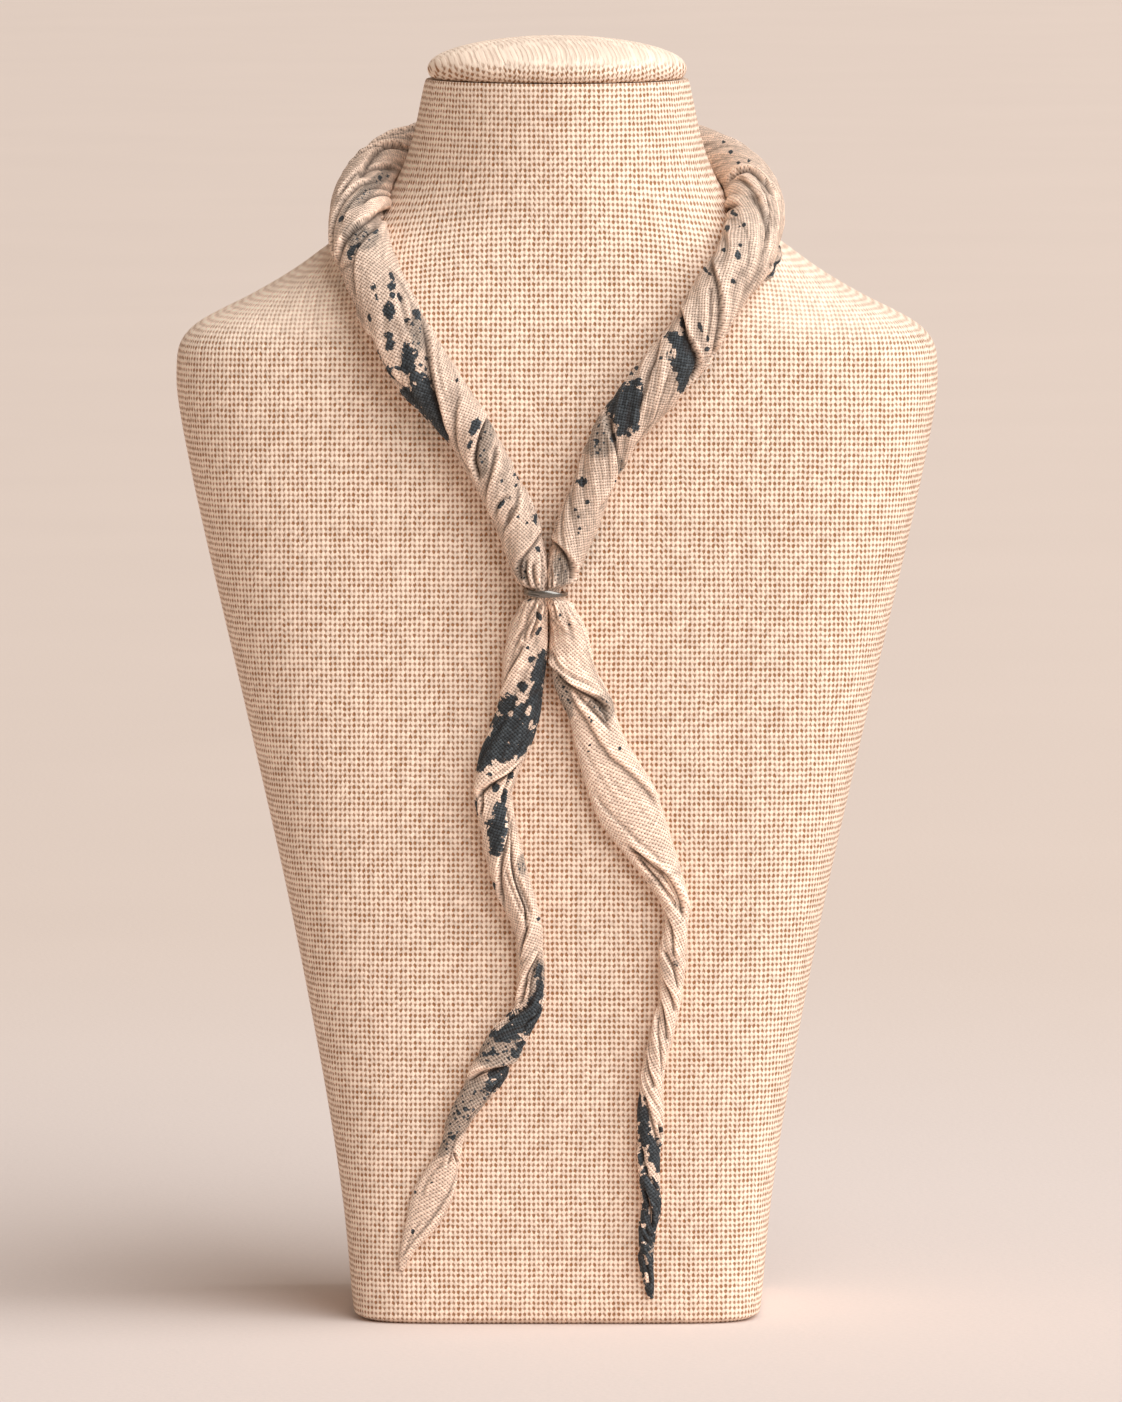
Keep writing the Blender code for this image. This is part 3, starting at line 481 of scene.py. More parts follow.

# Ink on the cloth. The blots' places, sizes and lean were set after the photo, and noise makes their
# edges. kind is INK for a dark blot, BARE for a gap in one, and HAZE for a thin grey wash. edge names a
# crease that cuts the blot off, and keeps is the hand of it where the ink stays.
# A few hazes, in a recess of the collar and under the right tail's wrap, are partly painted shade.
INK, BARE, HAZE = "ink", "bare", "haze"
Blot = namedtuple("Blot", "kind across height half_width half_height lean edge keeps", defaults=(0, "", 0))
COLLAR_BLOTS = (
    Blot(HAZE, -47.3, 282.6, 6.4, 1.3, 40),
    Blot(INK, -44.1, 287.3, 0.4, 0.3),
    Blot(INK, -42.6, 285.5, 0.4, 0.3),
    Blot(INK, -44.3, 285.3, 0.5, 0.45),
    Blot(INK, -48.3, 282.1, 0.45, 0.45),
    Blot(INK, -51.6, 279.2, 0.55, 0.5),
    Blot(INK, -54.0, 276.0, 0.4, 0.9, -20),
    Blot(INK, -42.4, 278.9, 0.35, 0.6, -20),
    Blot(INK, -51.4, 268.4, 0.8, 1.5, -15),
    Blot(INK, -49.3, 270.2, 0.7, 0.7),
    Blot(HAZE, -48.6, 271.9, 3.0, 2.4),
    Blot(INK, -45.2, 273.1, 0.6, 0.6),
    Blot(INK, -45.4, 260.1, 0.6, 0.8, 30),
    Blot(INK, -44.6, 257.9, 0.35, 0.9, 15),
    Blot(INK, -41.0, 263.0, 0.5, 1.2, 25),
    Blot(INK, -40.9, 260.5, 0.8, 1.0, 20),
    Blot(INK, -40.7, 258.2, 0.6, 0.7),
    Blot(INK, -38.9, 257.9, 0.45, 1.2, 20),
    Blot(INK, -41.5, 254.2, 1.1, 2.0, 10),
    Blot(INK, -46.2, 252.7, 0.4, 0.9, 15),
    Blot(INK, -41.6, 248.3, 0.9, 0.8),
    Blot(INK, -40.9, 246.3, 1.0, 1.2),
    Blot(INK, -37.1, 252.3, 0.7, 0.4),
    Blot(INK, -34.6, 253.5, 0.6, 1.4, 25, "left patch lip", RIGHT_HAND),
    Blot(INK, -35.6, 251.4, 0.45, 0.45),
    Blot(HAZE, -34.2, 249.3, 1.6, 3.4, 5, "left patch lip", RIGHT_HAND),
    Blot(INK, -35.6, 246.7, 0.35, 0.35),
    Blot(INK, -34.1, 246.7, 0.4, 0.4),
    Blot(INK, -32.1, 243.0, 0.6, 0.6, 0, "left patch lip", RIGHT_HAND),
    Blot(INK, -33.7, 241.4, 0.5, 0.5),
    Blot(INK, -32.3, 240.5, 0.35, 0.35),
    Blot(INK, -37.2, 245.5, 0.8, 1.4),
    Blot(INK, -36.5, 243.1, 1.6, 2.2),
    Blot(INK, -37.0, 240.6, 1.9, 1.4),
    Blot(INK, -34.8, 237.9, 1.4, 2.0, 20),
    Blot(INK, -32.8, 236.3, 2.2, 2.0, 0, "left patch lip", RIGHT_HAND),
    Blot(INK, -33.4, 233.5, 2.8, 2.8, 0, "left patch lip", RIGHT_HAND),
    Blot(INK, -30.9, 230.8, 2.6, 3.0, 0, "left patch lip", RIGHT_HAND),
    Blot(INK, -29.3, 227.2, 1.8, 2.6, 20, "left patch lip", RIGHT_HAND),
    Blot(INK, -28.0, 224.3, 1.3, 2.0, 25, "left patch lip", RIGHT_HAND),
    Blot(BARE, -35.0, 236.9, 0.35, 0.5),
    Blot(BARE, -31.1, 236.1, 0.35, 0.6),
    Blot(BARE, -37.4, 238.3, 0.9, 0.8),
    Blot(INK, -44.2, 244.5, 0.5, 2.2, 20),
    Blot(INK, -41.3, 240.0, 1.0, 1.9, 30),
    Blot(INK, -37.0, 234.3, 1.0, 1.6, 35),
    Blot(INK, -20.4, 226.2, 1.0, 1.6, -25),
    Blot(INK, -21.0, 225.1, 0.8, 0.9),
    Blot(INK, -21.4, 221.6, 0.45, 0.9, -20),
    Blot(INK, -24.8, 237.4, 0.3, 0.4, -30),
    # These two hazes in the recess are partly painted shade.
    Blot(HAZE, -17.9, 223.3, 1.8, 3.4, -15, "left recess", LEFT_HAND),
    Blot(HAZE, -18.9, 218.0, 1.6, 3.6, 0, "left recess", LEFT_HAND),
    Blot(INK, -10.4, 213.9, 0.4, 0.35),
    Blot(INK, -9.6, 213.1, 0.6, 0.3, -20),
    Blot(INK, -8.0, 213.8, 0.35, 0.6, -20),
    Blot(INK, -13.7, 212.6, 0.3, 0.3),
    Blot(INK, -10.1, 211.5, 0.6, 0.3, 30),
    Blot(INK, -13.6, 207.0, 0.5, 1.3, -40),
    Blot(INK, -11.6, 208.5, 0.35, 0.5, 20),
    Blot(INK, -9.8, 203.8, 0.45, 0.4),
    Blot(INK, -7.6, 202.2, 0.4, 0.35),
    Blot(INK, -5.5, 202.9, 0.5, 1.2, 5),
    Blot(INK, -4.6, 195.7, 0.45, 0.8, 20),
    Blot(HAZE, -8.6, 190.6, 1.2, 2.2),
    Blot(INK, 42.1, 293.2, 0.45, 0.35),
    Blot(INK, 43.8, 290.9, 0.4, 0.4),
    Blot(INK, 45.6, 288.4, 0.45, 0.45),
    Blot(INK, 48.2, 289.0, 0.4, 0.4),
    Blot(INK, 44.2, 277.2, 0.9, 0.4, -25),
    Blot(INK, 43.8, 277.9, 0.35, 0.4),
    Blot(INK, 46.4, 275.0, 0.4, 0.4),
    Blot(INK, 45.3, 274.6, 0.25, 0.25),
    Blot(INK, 42.6, 273.6, 0.45, 0.8, -20),
    Blot(INK, 45.4, 270.2, 0.5, 0.5),
    Blot(INK, 41.4, 269.0, 0.55, 0.5),
    Blot(INK, 44.8, 267.6, 0.6, 0.9),
    Blot(INK, 43.6, 261.4, 0.65, 0.6),
    Blot(INK, 37.0, 264.1, 1.2, 0.35, -35),
    Blot(INK, 35.5, 250.5, 0.45, 1.0, 20),
    Blot(INK, 37.3, 247.7, 0.3, 0.7, -10),
    Blot(INK, 36.9, 245.0, 0.6, 0.5),
    Blot(INK, 31.0, 251.7, 0.8, 1.7, 10, "right patch lip", RIGHT_HAND),
    Blot(INK, 28.9, 248.1, 1.7, 1.2, 0, "right patch lip", RIGHT_HAND),
    Blot(INK, 31.6, 246.4, 2.2, 2.4, 0, "right patch lip", RIGHT_HAND),
    Blot(INK, 32.0, 243.2, 3.0, 2.6, 0, "right patch lip", RIGHT_HAND),
    Blot(INK, 29.9, 241.2, 1.6, 1.6, 0, "right patch lip", RIGHT_HAND),
    Blot(INK, 32.4, 238.8, 2.0, 2.2, 0, "right patch lip", RIGHT_HAND),
    Blot(INK, 31.4, 235.7, 1.3, 1.5, -30, "right patch lip", RIGHT_HAND),
    Blot(BARE, 30.3, 249.1, 0.5, 0.8, 10),
    Blot(BARE, 29.0, 244.2, 0.7, 1.2),
    Blot(INK, 25.8, 242.8, 0.4, 0.4),
    Blot(INK, 18.2, 232.5, 3.4, 2.8, -20, "right light fold", RIGHT_HAND),
    Blot(INK, 17.2, 228.8, 3.2, 2.6, -20, "right light fold", RIGHT_HAND),
    Blot(INK, 14.6, 231.2, 1.8, 2.6, -20),
    Blot(INK, 16.1, 225.4, 1.4, 1.6),
    Blot(INK, 20.2, 236.8, 0.9, 0.9, 0, "right light fold", RIGHT_HAND),
    Blot(INK, 18.6, 236.6, 0.8, 0.7),
    Blot(INK, 16.5, 236.5, 0.6, 0.5),
    Blot(INK, 18.1, 239.1, 0.7, 0.5, -30),
    Blot(INK, 19.6, 240.3, 0.45, 0.4),
    Blot(BARE, 13.8, 228.7, 0.3, 0.7, -30),
    Blot(BARE, 15.0, 226.3, 0.3, 0.3),
    Blot(INK, 17.7, 224.1, 0.5, 0.7),
    Blot(INK, 14.0, 223.3, 0.6, 1.0, 10),
    Blot(HAZE, 10.2, 223.5, 3.2, 3.4, -20, "right lower lap", RIGHT_HAND),
    Blot(INK, 8.6, 225.3, 0.6, 1.6, -40),
    Blot(INK, 10.1, 222.2, 0.5, 0.45),
    Blot(INK, 10.3, 219.5, 0.35, 0.35),
    Blot(HAZE, 16.0, 215.0, 0.9, 2.8),
    Blot(INK, 6.2, 212.3, 1.1, 0.9, 30),
    Blot(INK, 7.4, 207.4, 0.5, 0.45),
    Blot(INK, 4.6, 205.4, 0.5, 0.45),
    Blot(INK, 5.3, 203.9, 0.4, 0.35, 20),
    Blot(INK, 12.7, 209.3, 0.35, 0.35),
    Blot(INK, 13.9, 212.7, 0.25, 0.3),
    Blot(INK, -0.5, 202.2, 0.35, 0.7),
    Blot(INK, 5.6, 200.9, 0.35, 0.35),
    Blot(INK, 5.4, 199.8, 0.25, 0.25),
    Blot(HAZE, 1.4, 191.4, 1.6, 3.4, 0, "right ring lip", RIGHT_HAND),
)
LEFT_TAIL_BLOTS = (
    Blot(INK, -7.1, 183.1, 0.35, 0.35),
    Blot(INK, -4.5, 179.3, 0.45, 1.0, 15),
    Blot(INK, -4.6, 175.4, 0.5, 1.3, -25),
    Blot(INK, -7.2, 171.2, 0.45, 0.4),
    Blot(INK, -6.2, 168.3, 0.8, 0.7),
    Blot(INK, -3.7, 169.0, 0.9, 1.6, -15),
    Blot(INK, -4.1, 166.4, 1.4, 2.2, -15),
    Blot(INK, -4.5, 163.6, 1.6, 2.2),
    Blot(INK, -5.4, 160.6, 1.9, 1.8),
    Blot(INK, -8.4, 161.4, 1.5, 1.1, -40),
    Blot(INK, -5.2, 158.4, 1.9, 2.2),
    Blot(INK, -10.9, 158.2, 1.6, 1.2, -40),
    Blot(INK, -12.6, 156.2, 2.0, 1.9, -40),
    Blot(INK, -9.6, 155.0, 1.8, 2.0),
    Blot(INK, -6.8, 154.4, 2.4, 2.6),
    Blot(INK, -11.9, 151.0, 3.8, 2.8),
    Blot(INK, -15.0, 148.4, 3.4, 2.8),
    Blot(INK, -9.6, 149.0, 3.6, 2.4),
    Blot(INK, -17.2, 145.0, 2.0, 2.4),
    Blot(INK, -13.3, 145.4, 3.4, 2.0, 0, "band hem", RIGHT_HAND),
    Blot(INK, -18.8, 142.4, 1.2, 2.0),
    Blot(INK, -9.2, 145.8, 1.6, 1.2, 0, "band hem", RIGHT_HAND),
    Blot(BARE, -7.0, 155.6, 0.55, 1.7, -20),
    Blot(BARE, -6.9, 161.0, 0.6, 2.4, -35),
    Blot(BARE, -9.2, 158.0, 0.6, 1.8, -40),
    Blot(BARE, -17.0, 149.6, 0.7, 1.8, -35),
    Blot(BARE, -11.5, 154.6, 0.9, 0.8),
    Blot(BARE, -15.0, 142.3, 1.4, 0.9, -35),
    Blot(BARE, -6.4, 152.3, 0.5, 1.0, -20),
    Blot(BARE, -18.6, 139.0, 0.8, 1.0),
    Blot(INK, -16.6, 139.6, 0.6, 0.5),
    Blot(INK, -15.2, 136.3, 0.9, 1.0, 0, "band lip", LEFT_HAND),
    Blot(INK, -11.0, 139.3, 0.45, 1.9, -30, "band lip", LEFT_HAND),
    Blot(INK, -13.2, 133.6, 0.7, 2.4, -10),
    Blot(INK, -14.2, 130.1, 1.4, 2.0),
    Blot(INK, -14.8, 126.2, 1.9, 2.6, 0, "patch edge", RIGHT_HAND),
    Blot(INK, -15.1, 122.0, 1.6, 2.4, 0, "patch edge", RIGHT_HAND),
    Blot(INK, -16.8, 127.4, 0.9, 0.6),
    Blot(INK, -19.9, 130.6, 0.5, 2.2),
    Blot(INK, -15.5, 111.2, 0.45, 1.1, -10),
    Blot(INK, -4.6, 103.1, 0.5, 0.5),
    Blot(HAZE, -8.6, 116.7, 0.9, 2.2),
    Blot(HAZE, -5.0, 87.9, 2.0, 4.0, -5, "lower line", LEFT_HAND),
    Blot(INK, -4.4, 90.1, 0.8, 1.4, -10, "lower line", LEFT_HAND),
    Blot(INK, -4.2, 85.5, 0.8, 2.8),
    Blot(INK, -5.8, 83.0, 1.3, 1.2),
    Blot(INK, -5.9, 79.5, 2.0, 2.2),
    Blot(INK, -8.4, 78.9, 2.4, 1.6, -30, "dark fold", LEFT_HAND),
    Blot(INK, -8.6, 76.9, 3.0, 2.2, -30),
    Blot(INK, -11.7, 75.0, 3.0, 1.9, -30, "dark fold", LEFT_HAND),
    Blot(INK, -14.8, 73.8, 2.0, 1.2, -30),
    Blot(BARE, -8.2, 73.4, 2.0, 0.35, -35),
    Blot(INK, -15.9, 69.6, 0.65, 0.65),
    Blot(INK, -17.8, 69.2, 0.65, 0.6),
    Blot(INK, -10.8, 69.6, 0.9, 0.9),
    Blot(INK, -8.8, 71.4, 1.0, 1.0),
    Blot(INK, -17.2, 67.6, 0.7, 0.3, -20),
    Blot(HAZE, -14.2, 69.8, 4.6, 2.8, 0, "speckle lip", RIGHT_HAND),
    Blot(INK, -12.4, 64.5, 2.0, 1.4, -20, "speckle lip", LEFT_HAND),
    Blot(INK, -15.6, 63.7, 1.8, 1.0, 0, "speckle lip", LEFT_HAND),
    Blot(INK, -14.2, 61.9, 1.7, 1.4, -30, "speckle lip", LEFT_HAND),
    Blot(INK, -16.4, 60.7, 1.5, 1.3, -30),
    Blot(BARE, -15.6, 62.8, 0.8, 0.25),
    Blot(HAZE, -20.6, 58.3, 2.8, 3.6, -30),
    Blot(HAZE, -24.2, 53.4, 2.4, 4.2, -30),
    Blot(HAZE, -27.0, 46.8, 1.6, 3.4, -30, "leaf start", RIGHT_HAND),
    Blot(INK, -22.8, 55.4, 0.5, 0.5),
    Blot(INK, -24.2, 54.1, 0.5, 0.5),
    Blot(INK, -22.3, 52.7, 0.35, 0.35),
    Blot(INK, -25.8, 48.0, 0.45, 0.7, -20),
    Blot(INK, -24.9, 49.3, 0.3, 0.4),
    Blot(INK, -35.2, 33.9, 0.35, 0.35),
    Blot(INK, -31.2, 36.5, 0.28, 0.28),
    Blot(INK, -36.0, 23.9, 0.4, 0.6),
)
RIGHT_TAIL_BLOTS = (
    Blot(INK, 0.7, 179.5, 0.35, 0.35),
    Blot(INK, 3.2, 177.0, 0.3, 0.3),
    Blot(INK, 3.9, 164.0, 0.3, 0.25),
    # These two hazes on the inner cloth under the wrap are partly painted shade.
    Blot(HAZE, 1.6, 159.0, 1.6, 5.0, 10),
    Blot(HAZE, 10.6, 155.4, 2.4, 2.8, 0, "inner line", LEFT_HAND),
    Blot(INK, 8.6, 152.8, 0.4, 0.6, 20),
    Blot(INK, 8.1, 153.8, 0.25, 0.25),
    Blot(INK, 15.5, 145.8, 0.4, 0.4),
    Blot(INK, 8.2, 146.6, 0.35, 0.3),
    Blot(INK, 7.8, 145.1, 0.4, 0.25, -30),
    Blot(HAZE, 29.4, 91.8, 0.7, 0.7),
    Blot(INK, 20.5, 56.7, 0.5, 2.2),
    Blot(INK, 20.4, 53.8, 0.9, 2.2),
    Blot(INK, 21.5, 53.0, 1.1, 2.4, 0, "twist seven", RIGHT_HAND),
    Blot(INK, 21.6, 50.1, 1.3, 2.4, 0, "twist seven", RIGHT_HAND),
    Blot(INK, 22.1, 47.8, 1.5, 1.8, 0, "twist seven", RIGHT_HAND),
    Blot(INK, 23.6, 47.0, 1.3, 1.2, 0, "twist seven", RIGHT_HAND),
    Blot(INK, 24.2, 44.6, 1.4, 2.6),
    Blot(INK, 25.1, 41.1, 0.9, 2.2),
    Blot(INK, 21.7, 57.6, 0.5, 0.6),
    Blot(INK, 20.9, 43.3, 0.5, 2.2),
    Blot(INK, 25.7, 49.8, 0.35, 0.8, -10),
    Blot(INK, 22.3, 36.7, 1.4, 2.8),
    Blot(INK, 23.6, 34.0, 1.9, 2.6),
    Blot(INK, 24.9, 30.2, 1.5, 3.0),
    Blot(INK, 22.3, 31.8, 1.0, 2.6),
    Blot(INK, 22.0, 27.8, 1.1, 1.9),
    Blot(INK, 24.3, 26.1, 1.0, 2.0),
    Blot(INK, 20.6, 22.9, 0.8, 2.4),
    Blot(INK, 22.8, 22.7, 1.3, 1.6),
    Blot(INK, 21.9, 19.8, 1.1, 1.6),
    Blot(INK, 21.0, 18.4, 0.7, 1.2),
    Blot(HAZE, 23.4, 19.3, 1.2, 2.6),
    Blot(INK, 21.6, 14.6, 1.1, 1.2),
    Blot(INK, 22.6, 24.6, 1.9, 3.6),
    Blot(INK, 22.4, 15.2, 1.6, 3.4),
    Blot(INK, 23.2, 10.2, 1.2, 3.0),
    Blot(INK, 23.8, 11.2, 0.6, 1.9),
    Blot(INK, 22.3, 8.9, 0.5, 1.8),
    Blot(INK, 23.6, 7.2, 0.6, 1.2),
    Blot(BARE, 22.9, 40.3, 0.45, 3.4, 12),
    Blot(BARE, 21.6, 25.5, 0.6, 0.6),
    Blot(BARE, 22.2, 16.8, 0.4, 1.2, 15),
    Blot(BARE, 22.4, 12.4, 0.5, 1.4, 10),
)


def colour_field(name, description, default):
    return bpy.props.FloatVectorProperty(
        name=name, description=description, subtype="COLOR", default=default)


def length_field(name, description, default):
    return bpy.props.FloatProperty(name=name, description=description, unit="LENGTH", default=default)


def number_field(name, description, default):
    return bpy.props.FloatProperty(name=name, description=description, default=default)


class BustLook(bpy.types.PropertyGroup):
    thread: colour_field("Linen thread", "Colour of the linen's threads", (0.99, 0.785, 0.63))
    pore: colour_field("Linen pore", "Colour between the linen's threads", (0.40, 0.165, 0.058))
    pitch_across: length_field("Pitch across", "Distance between upright threads", 0.001175)
    pitch_up: length_field("Pitch up", "Distance between level threads", 0.0014)


class ClothLook(bpy.types.PropertyGroup):
    sand: colour_field("Sand", "Ground colour of the bandana", (0.98, 0.735, 0.58))
    ink: colour_field("Ink", "Colour of the dark blots", (0.029, 0.034, 0.038))
    haze: colour_field("Haze", "Colour of the thin grey wash", (0.20, 0.165, 0.135))
    gap: colour_field("Gap", "Colour between the bandana's threads", (0.20, 0.095, 0.05))
    # Painted shade: the colour that the cloth is darkened towards in its creases.
    crease_shade: colour_field("Crevice", "Colour deep in a crease", (0.05, 0.028, 0.018))
    pitch: length_field("Cloth pitch", "Distance from thread to thread", 0.00070)
    hollow: number_field("Hollow", "Share of a strand's thickness that is hollow", 0.5)


class RingLook(bpy.types.PropertyGroup):
    steel: colour_field("Steel", "Colour of the wrap ring", (0.23, 0.21, 0.19))
    roughness: number_field("Steel roughness", "How dull the ring is", 0.22)


class StageLook(bpy.types.PropertyGroup):
    near: colour_field("Floor", "Colour of the floor round the bust", (0.80, 0.685, 0.63))
    far: colour_field("Backdrop", "Colour of the floor further away", (0.765, 0.63, 0.55))
    key_colour: colour_field("Key colour", "Colour of the soft light on the right", (0.931, 0.973, 1.0))
    key_strength: number_field("Key light", "Strength of the soft light on the right", 3.42)
    room_colour: colour_field("Room colour", "Colour of the light from all round", (1.0, 0.86, 0.74))
    sky: number_field("Room light", "Strength of the light from all round", 0.345)


class Value:
    """A shader socket's number. Sums and products of it add Math nodes."""

    def __init__(self, finish, socket):
        self.finish = finish
        self.socket = socket

    def math(self, operation, *others):
        node = self.finish.add("Math", {"operation": operation}, dict(enumerate((self, *others))))
        return Value(self.finish, node.outputs[0])

    def __add__(self, other):
        return self.math("ADD", other)

    __radd__ = __add__

    def __mul__(self, other):
        return self.math("MULTIPLY", other)

    __rmul__ = __mul__

    def __sub__(self, other):
        return self.math("SUBTRACT", other)

    def __rsub__(self, other):
        return self * -1 + other

    def __truediv__(self, other):
        return self.math("DIVIDE", other)

    def __pow__(self, other):
        return self.math("POWER", other)

    def floor(self):
        return self.math("FLOOR")

    def fraction(self):
        return self.math("FRACT")

    def size(self):
        return self.math("ABSOLUTE")

    def cosine(self):
        return self.math("COSINE")

    def root(self):
        return self.math("MAXIMUM", 0.0).math("SQRT")

    def least(self, other):
        return self.math("MINIMUM", other)

    def most(self, other):
        return self.math("MAXIMUM", other)

    def step(self, low, high):
        """0 below low, 1 above high and smooth between, or the other way round where low is above high."""
        if low > high:
            return 1 - self.step(high, low)
        span = {"interpolation_type": "SMOOTHSTEP"}
        node = self.finish.add("MapRange", span, {0: self, 1: low, 2: high, 3: 0.0, 4: 1.0})
        return Value(self.finish, node.outputs[0])


class Finish:
    """A material whose nodes are added from expressions."""

    def __init__(self, name, roughness, metallic=0.0):
        self.material = bpy.data.materials.new(name)
        self.material.use_nodes = True
        self.tree = self.material.node_tree
        self.shader = self.tree.nodes["Principled BSDF"]
        self.shader.inputs["Roughness"].default_value = roughness
        self.shader.inputs["Metallic"].default_value = metallic

    def add(self, kind, settings, values):
        """A node of a kind. Its settings are set first, then the values or links of its sockets."""
        node = self.tree.nodes.new("ShaderNode" + kind)
        for name, value in settings.items():
            setattr(node, name, value)
        for key, value in values.items():
            if isinstance(value, Value):
                self.tree.links.new(value.socket, node.inputs[key])
            else:
                node.inputs[key].default_value = value
        return node

    def out(self, kind, settings, values, output=0):
        return Value(self, self.add(kind, settings, values).outputs[output])

    def place(self):
        """Object coordinates, in metres."""
        return self.out("TexCoord", {}, {}, "Object")

    def parts(self, vector):
        node = self.add("SeparateXYZ", {}, {0: vector})
        return [Value(self, socket) for socket in node.outputs]

    def pattern(self, name):
        """The two numbers of a UV map that is in metres of cloth."""
        return self.parts(self.out("UVMap", {"uv_map": name}, {}))[:2]

    def painted(self, name):
        """A number painted on the mesh's points."""
        return self.out("Attribute", {"attribute_name": name}, {}, "Fac")

    def point(self, x, y, z=0.0):
        return self.out("CombineXYZ", {}, {0: x, 1: y, 2: z})

    def noise(self, vector, scale, detail=2.0, roughness=0.5):
        sockets = {"Vector": vector, "Scale": scale, "Detail": detail, "Roughness": roughness}
        return self.out("TexNoise", {}, sockets)

    def chance(self, number):
        """A fixed random number for each whole number."""
        return self.out("TexWhiteNoise", {"noise_dimensions": "1D"}, {"W": number})

    def chance_of_two(self, a, b):
        return self.out("TexWhiteNoise", {"noise_dimensions": "2D"}, {"Vector": self.point(a, b)})

    def dots(self, vector, scale):
        """How far the nearest of some scattered points is, in their own spacing."""
        return self.out("TexVoronoi", {}, {"Vector": vector, "Scale": scale})

    def blend(self, share, a, b):
        """Colour a where share is 0 and b where it is 1."""
        colours = [(*c, 1.0) if isinstance(c, (tuple, list)) else c for c in (a, b)]
        return self.out("Mix", {"data_type": "RGBA"}, {0: share, 6: colours[0], 7: colours[1]}, 2)

    def shade(self, colour, amount):
        """A colour made darker or lighter by a number."""
        return self.out("VectorMath", {"operation": "SCALE"}, {0: colour, "Scale": amount})

    def colour(self, value):
        self.tree.links.new(value.socket, self.shader.inputs["Base Color"])

    def roughness(self, value):
        self.tree.links.new(value.socket, self.shader.inputs["Roughness"])

    def relief(self, height, distance, strength=1.0):
        bump = self.add("Bump", {}, {"Strength": strength, "Distance": distance, "Height": height})
        self.tree.links.new(bump.outputs[0], self.shader.inputs["Normal"])


def weave(finish, u, v, wander):
    """A plain weave on coordinates that count threads: its height, its pores and its threads' own tone."""
    bend_u = finish.noise(finish.point(u * 0.5, v * 0.06, 3.7), 1.0) - 0.5
    bend_v = finish.noise(finish.point(u * 0.06, v * 0.5, 9.2), 1.0) - 0.5
    u = u + bend_u * wander
    v = v + bend_v * wander
    column, row = u.floor(), v.floor()
    off_u = (u.fraction() - 0.5).size()
    off_v = (v.fraction() - 0.5).size()
    over = 1 - 2 * (column + row).math("PINGPONG", 1.0)
    half_thread, rise = 0.41, 0.42
    warp = (1 - (off_u / half_thread) ** 2).root() * (1 + rise * over * (off_v * math.pi).cosine())
    weft = (1 - (off_v / half_thread) ** 2).root() * (1 - rise * over * (off_u * math.pi).cosine())
    height = warp.most(weft)
    warp_wins = (warp - weft).step(-0.02, 0.02)
    tone = warp_wins * finish.chance(column) + (1 - warp_wins) * finish.chance(row + 500.0)
    pore = (off_u.least(off_v) * 2).step(0.60, 0.95)
    depth = finish.chance_of_two((u + 0.5).floor(), (v + 0.5).floor())
    return height, pore * (0.5 + 0.5 * depth), tone


def linen_finish(name, look, sway):
    """Plain open linen: cream threads, each a little lighter or darker, and round brown pores."""
    finish = Finish(name, 0.92)
    u, v = finish.pattern("weave")
    place = finish.place()
    u = u / look.pitch_across + (finish.noise(place, 42.0, 3.0) - 0.5) * sway
    v = v / look.pitch_up + (finish.noise(finish.point(v * 9.0, u * 0.4), 6.0, 3.0) - 0.5) * sway
    column, row = u.floor(), v.floor()
    off_u = (u.fraction() - 0.5).size() * 2
    off_v = (v.fraction() - 0.5).size() * 2
    # Every pore is at the corner of four crossings.
    chance = finish.chance_of_two((u + 0.5).floor(), (v + 0.5).floor())
    away = ((1 - off_u) ** 2 + (1 - off_v) ** 2).root()
    pore = (away + 0.15 * chance).step(0.88, 0.48)
    gap = off_u.most(off_v).step(0.72, 1.05)
    over = 1 - 2 * (column + row).math("PINGPONG", 1.0)
    height = 1 - 0.32 * off_u ** 2 - 0.32 * off_v ** 2 + 0.14 * over * (off_v - off_u)
    grain = finish.chance_of_two(column, row)
    tone = finish.chance(column) + finish.chance(row + 500.0)
    slub = finish.noise(finish.point(u * 1.3, v * 1.1, 1.0), 1.0, 3.0)
    cloudy = finish.noise(place, 26.0, 3.0)
    lit = (0.80 + 0.19 * grain + 0.07 * tone + 0.22 * slub) * (0.96 + 0.08 * cloudy)
    x, _, level = finish.parts(place)
    slope = level.step(*SLOPE_FROM) * level.step(*SLOPE_TO) * x.size().step(*SLOPE_OUT)
    flat = level.step(*DOME_FROM) + 0.55 * slope
    shade = (pore * (0.97 - 0.22 * chance)).most(gap * 0.24) * (1 - 0.82 * flat)
    finish.colour(finish.blend(shade, finish.shade(tuple(look.thread), lit), tuple(look.pore)))
    rough = (height - 0.8 * pore + 0.6 * slub + 0.3 * grain) * (1 - 0.6 * flat)
    finish.relief(rough, 0.30 * look.pitch_across, 0.8)
    return finish.material


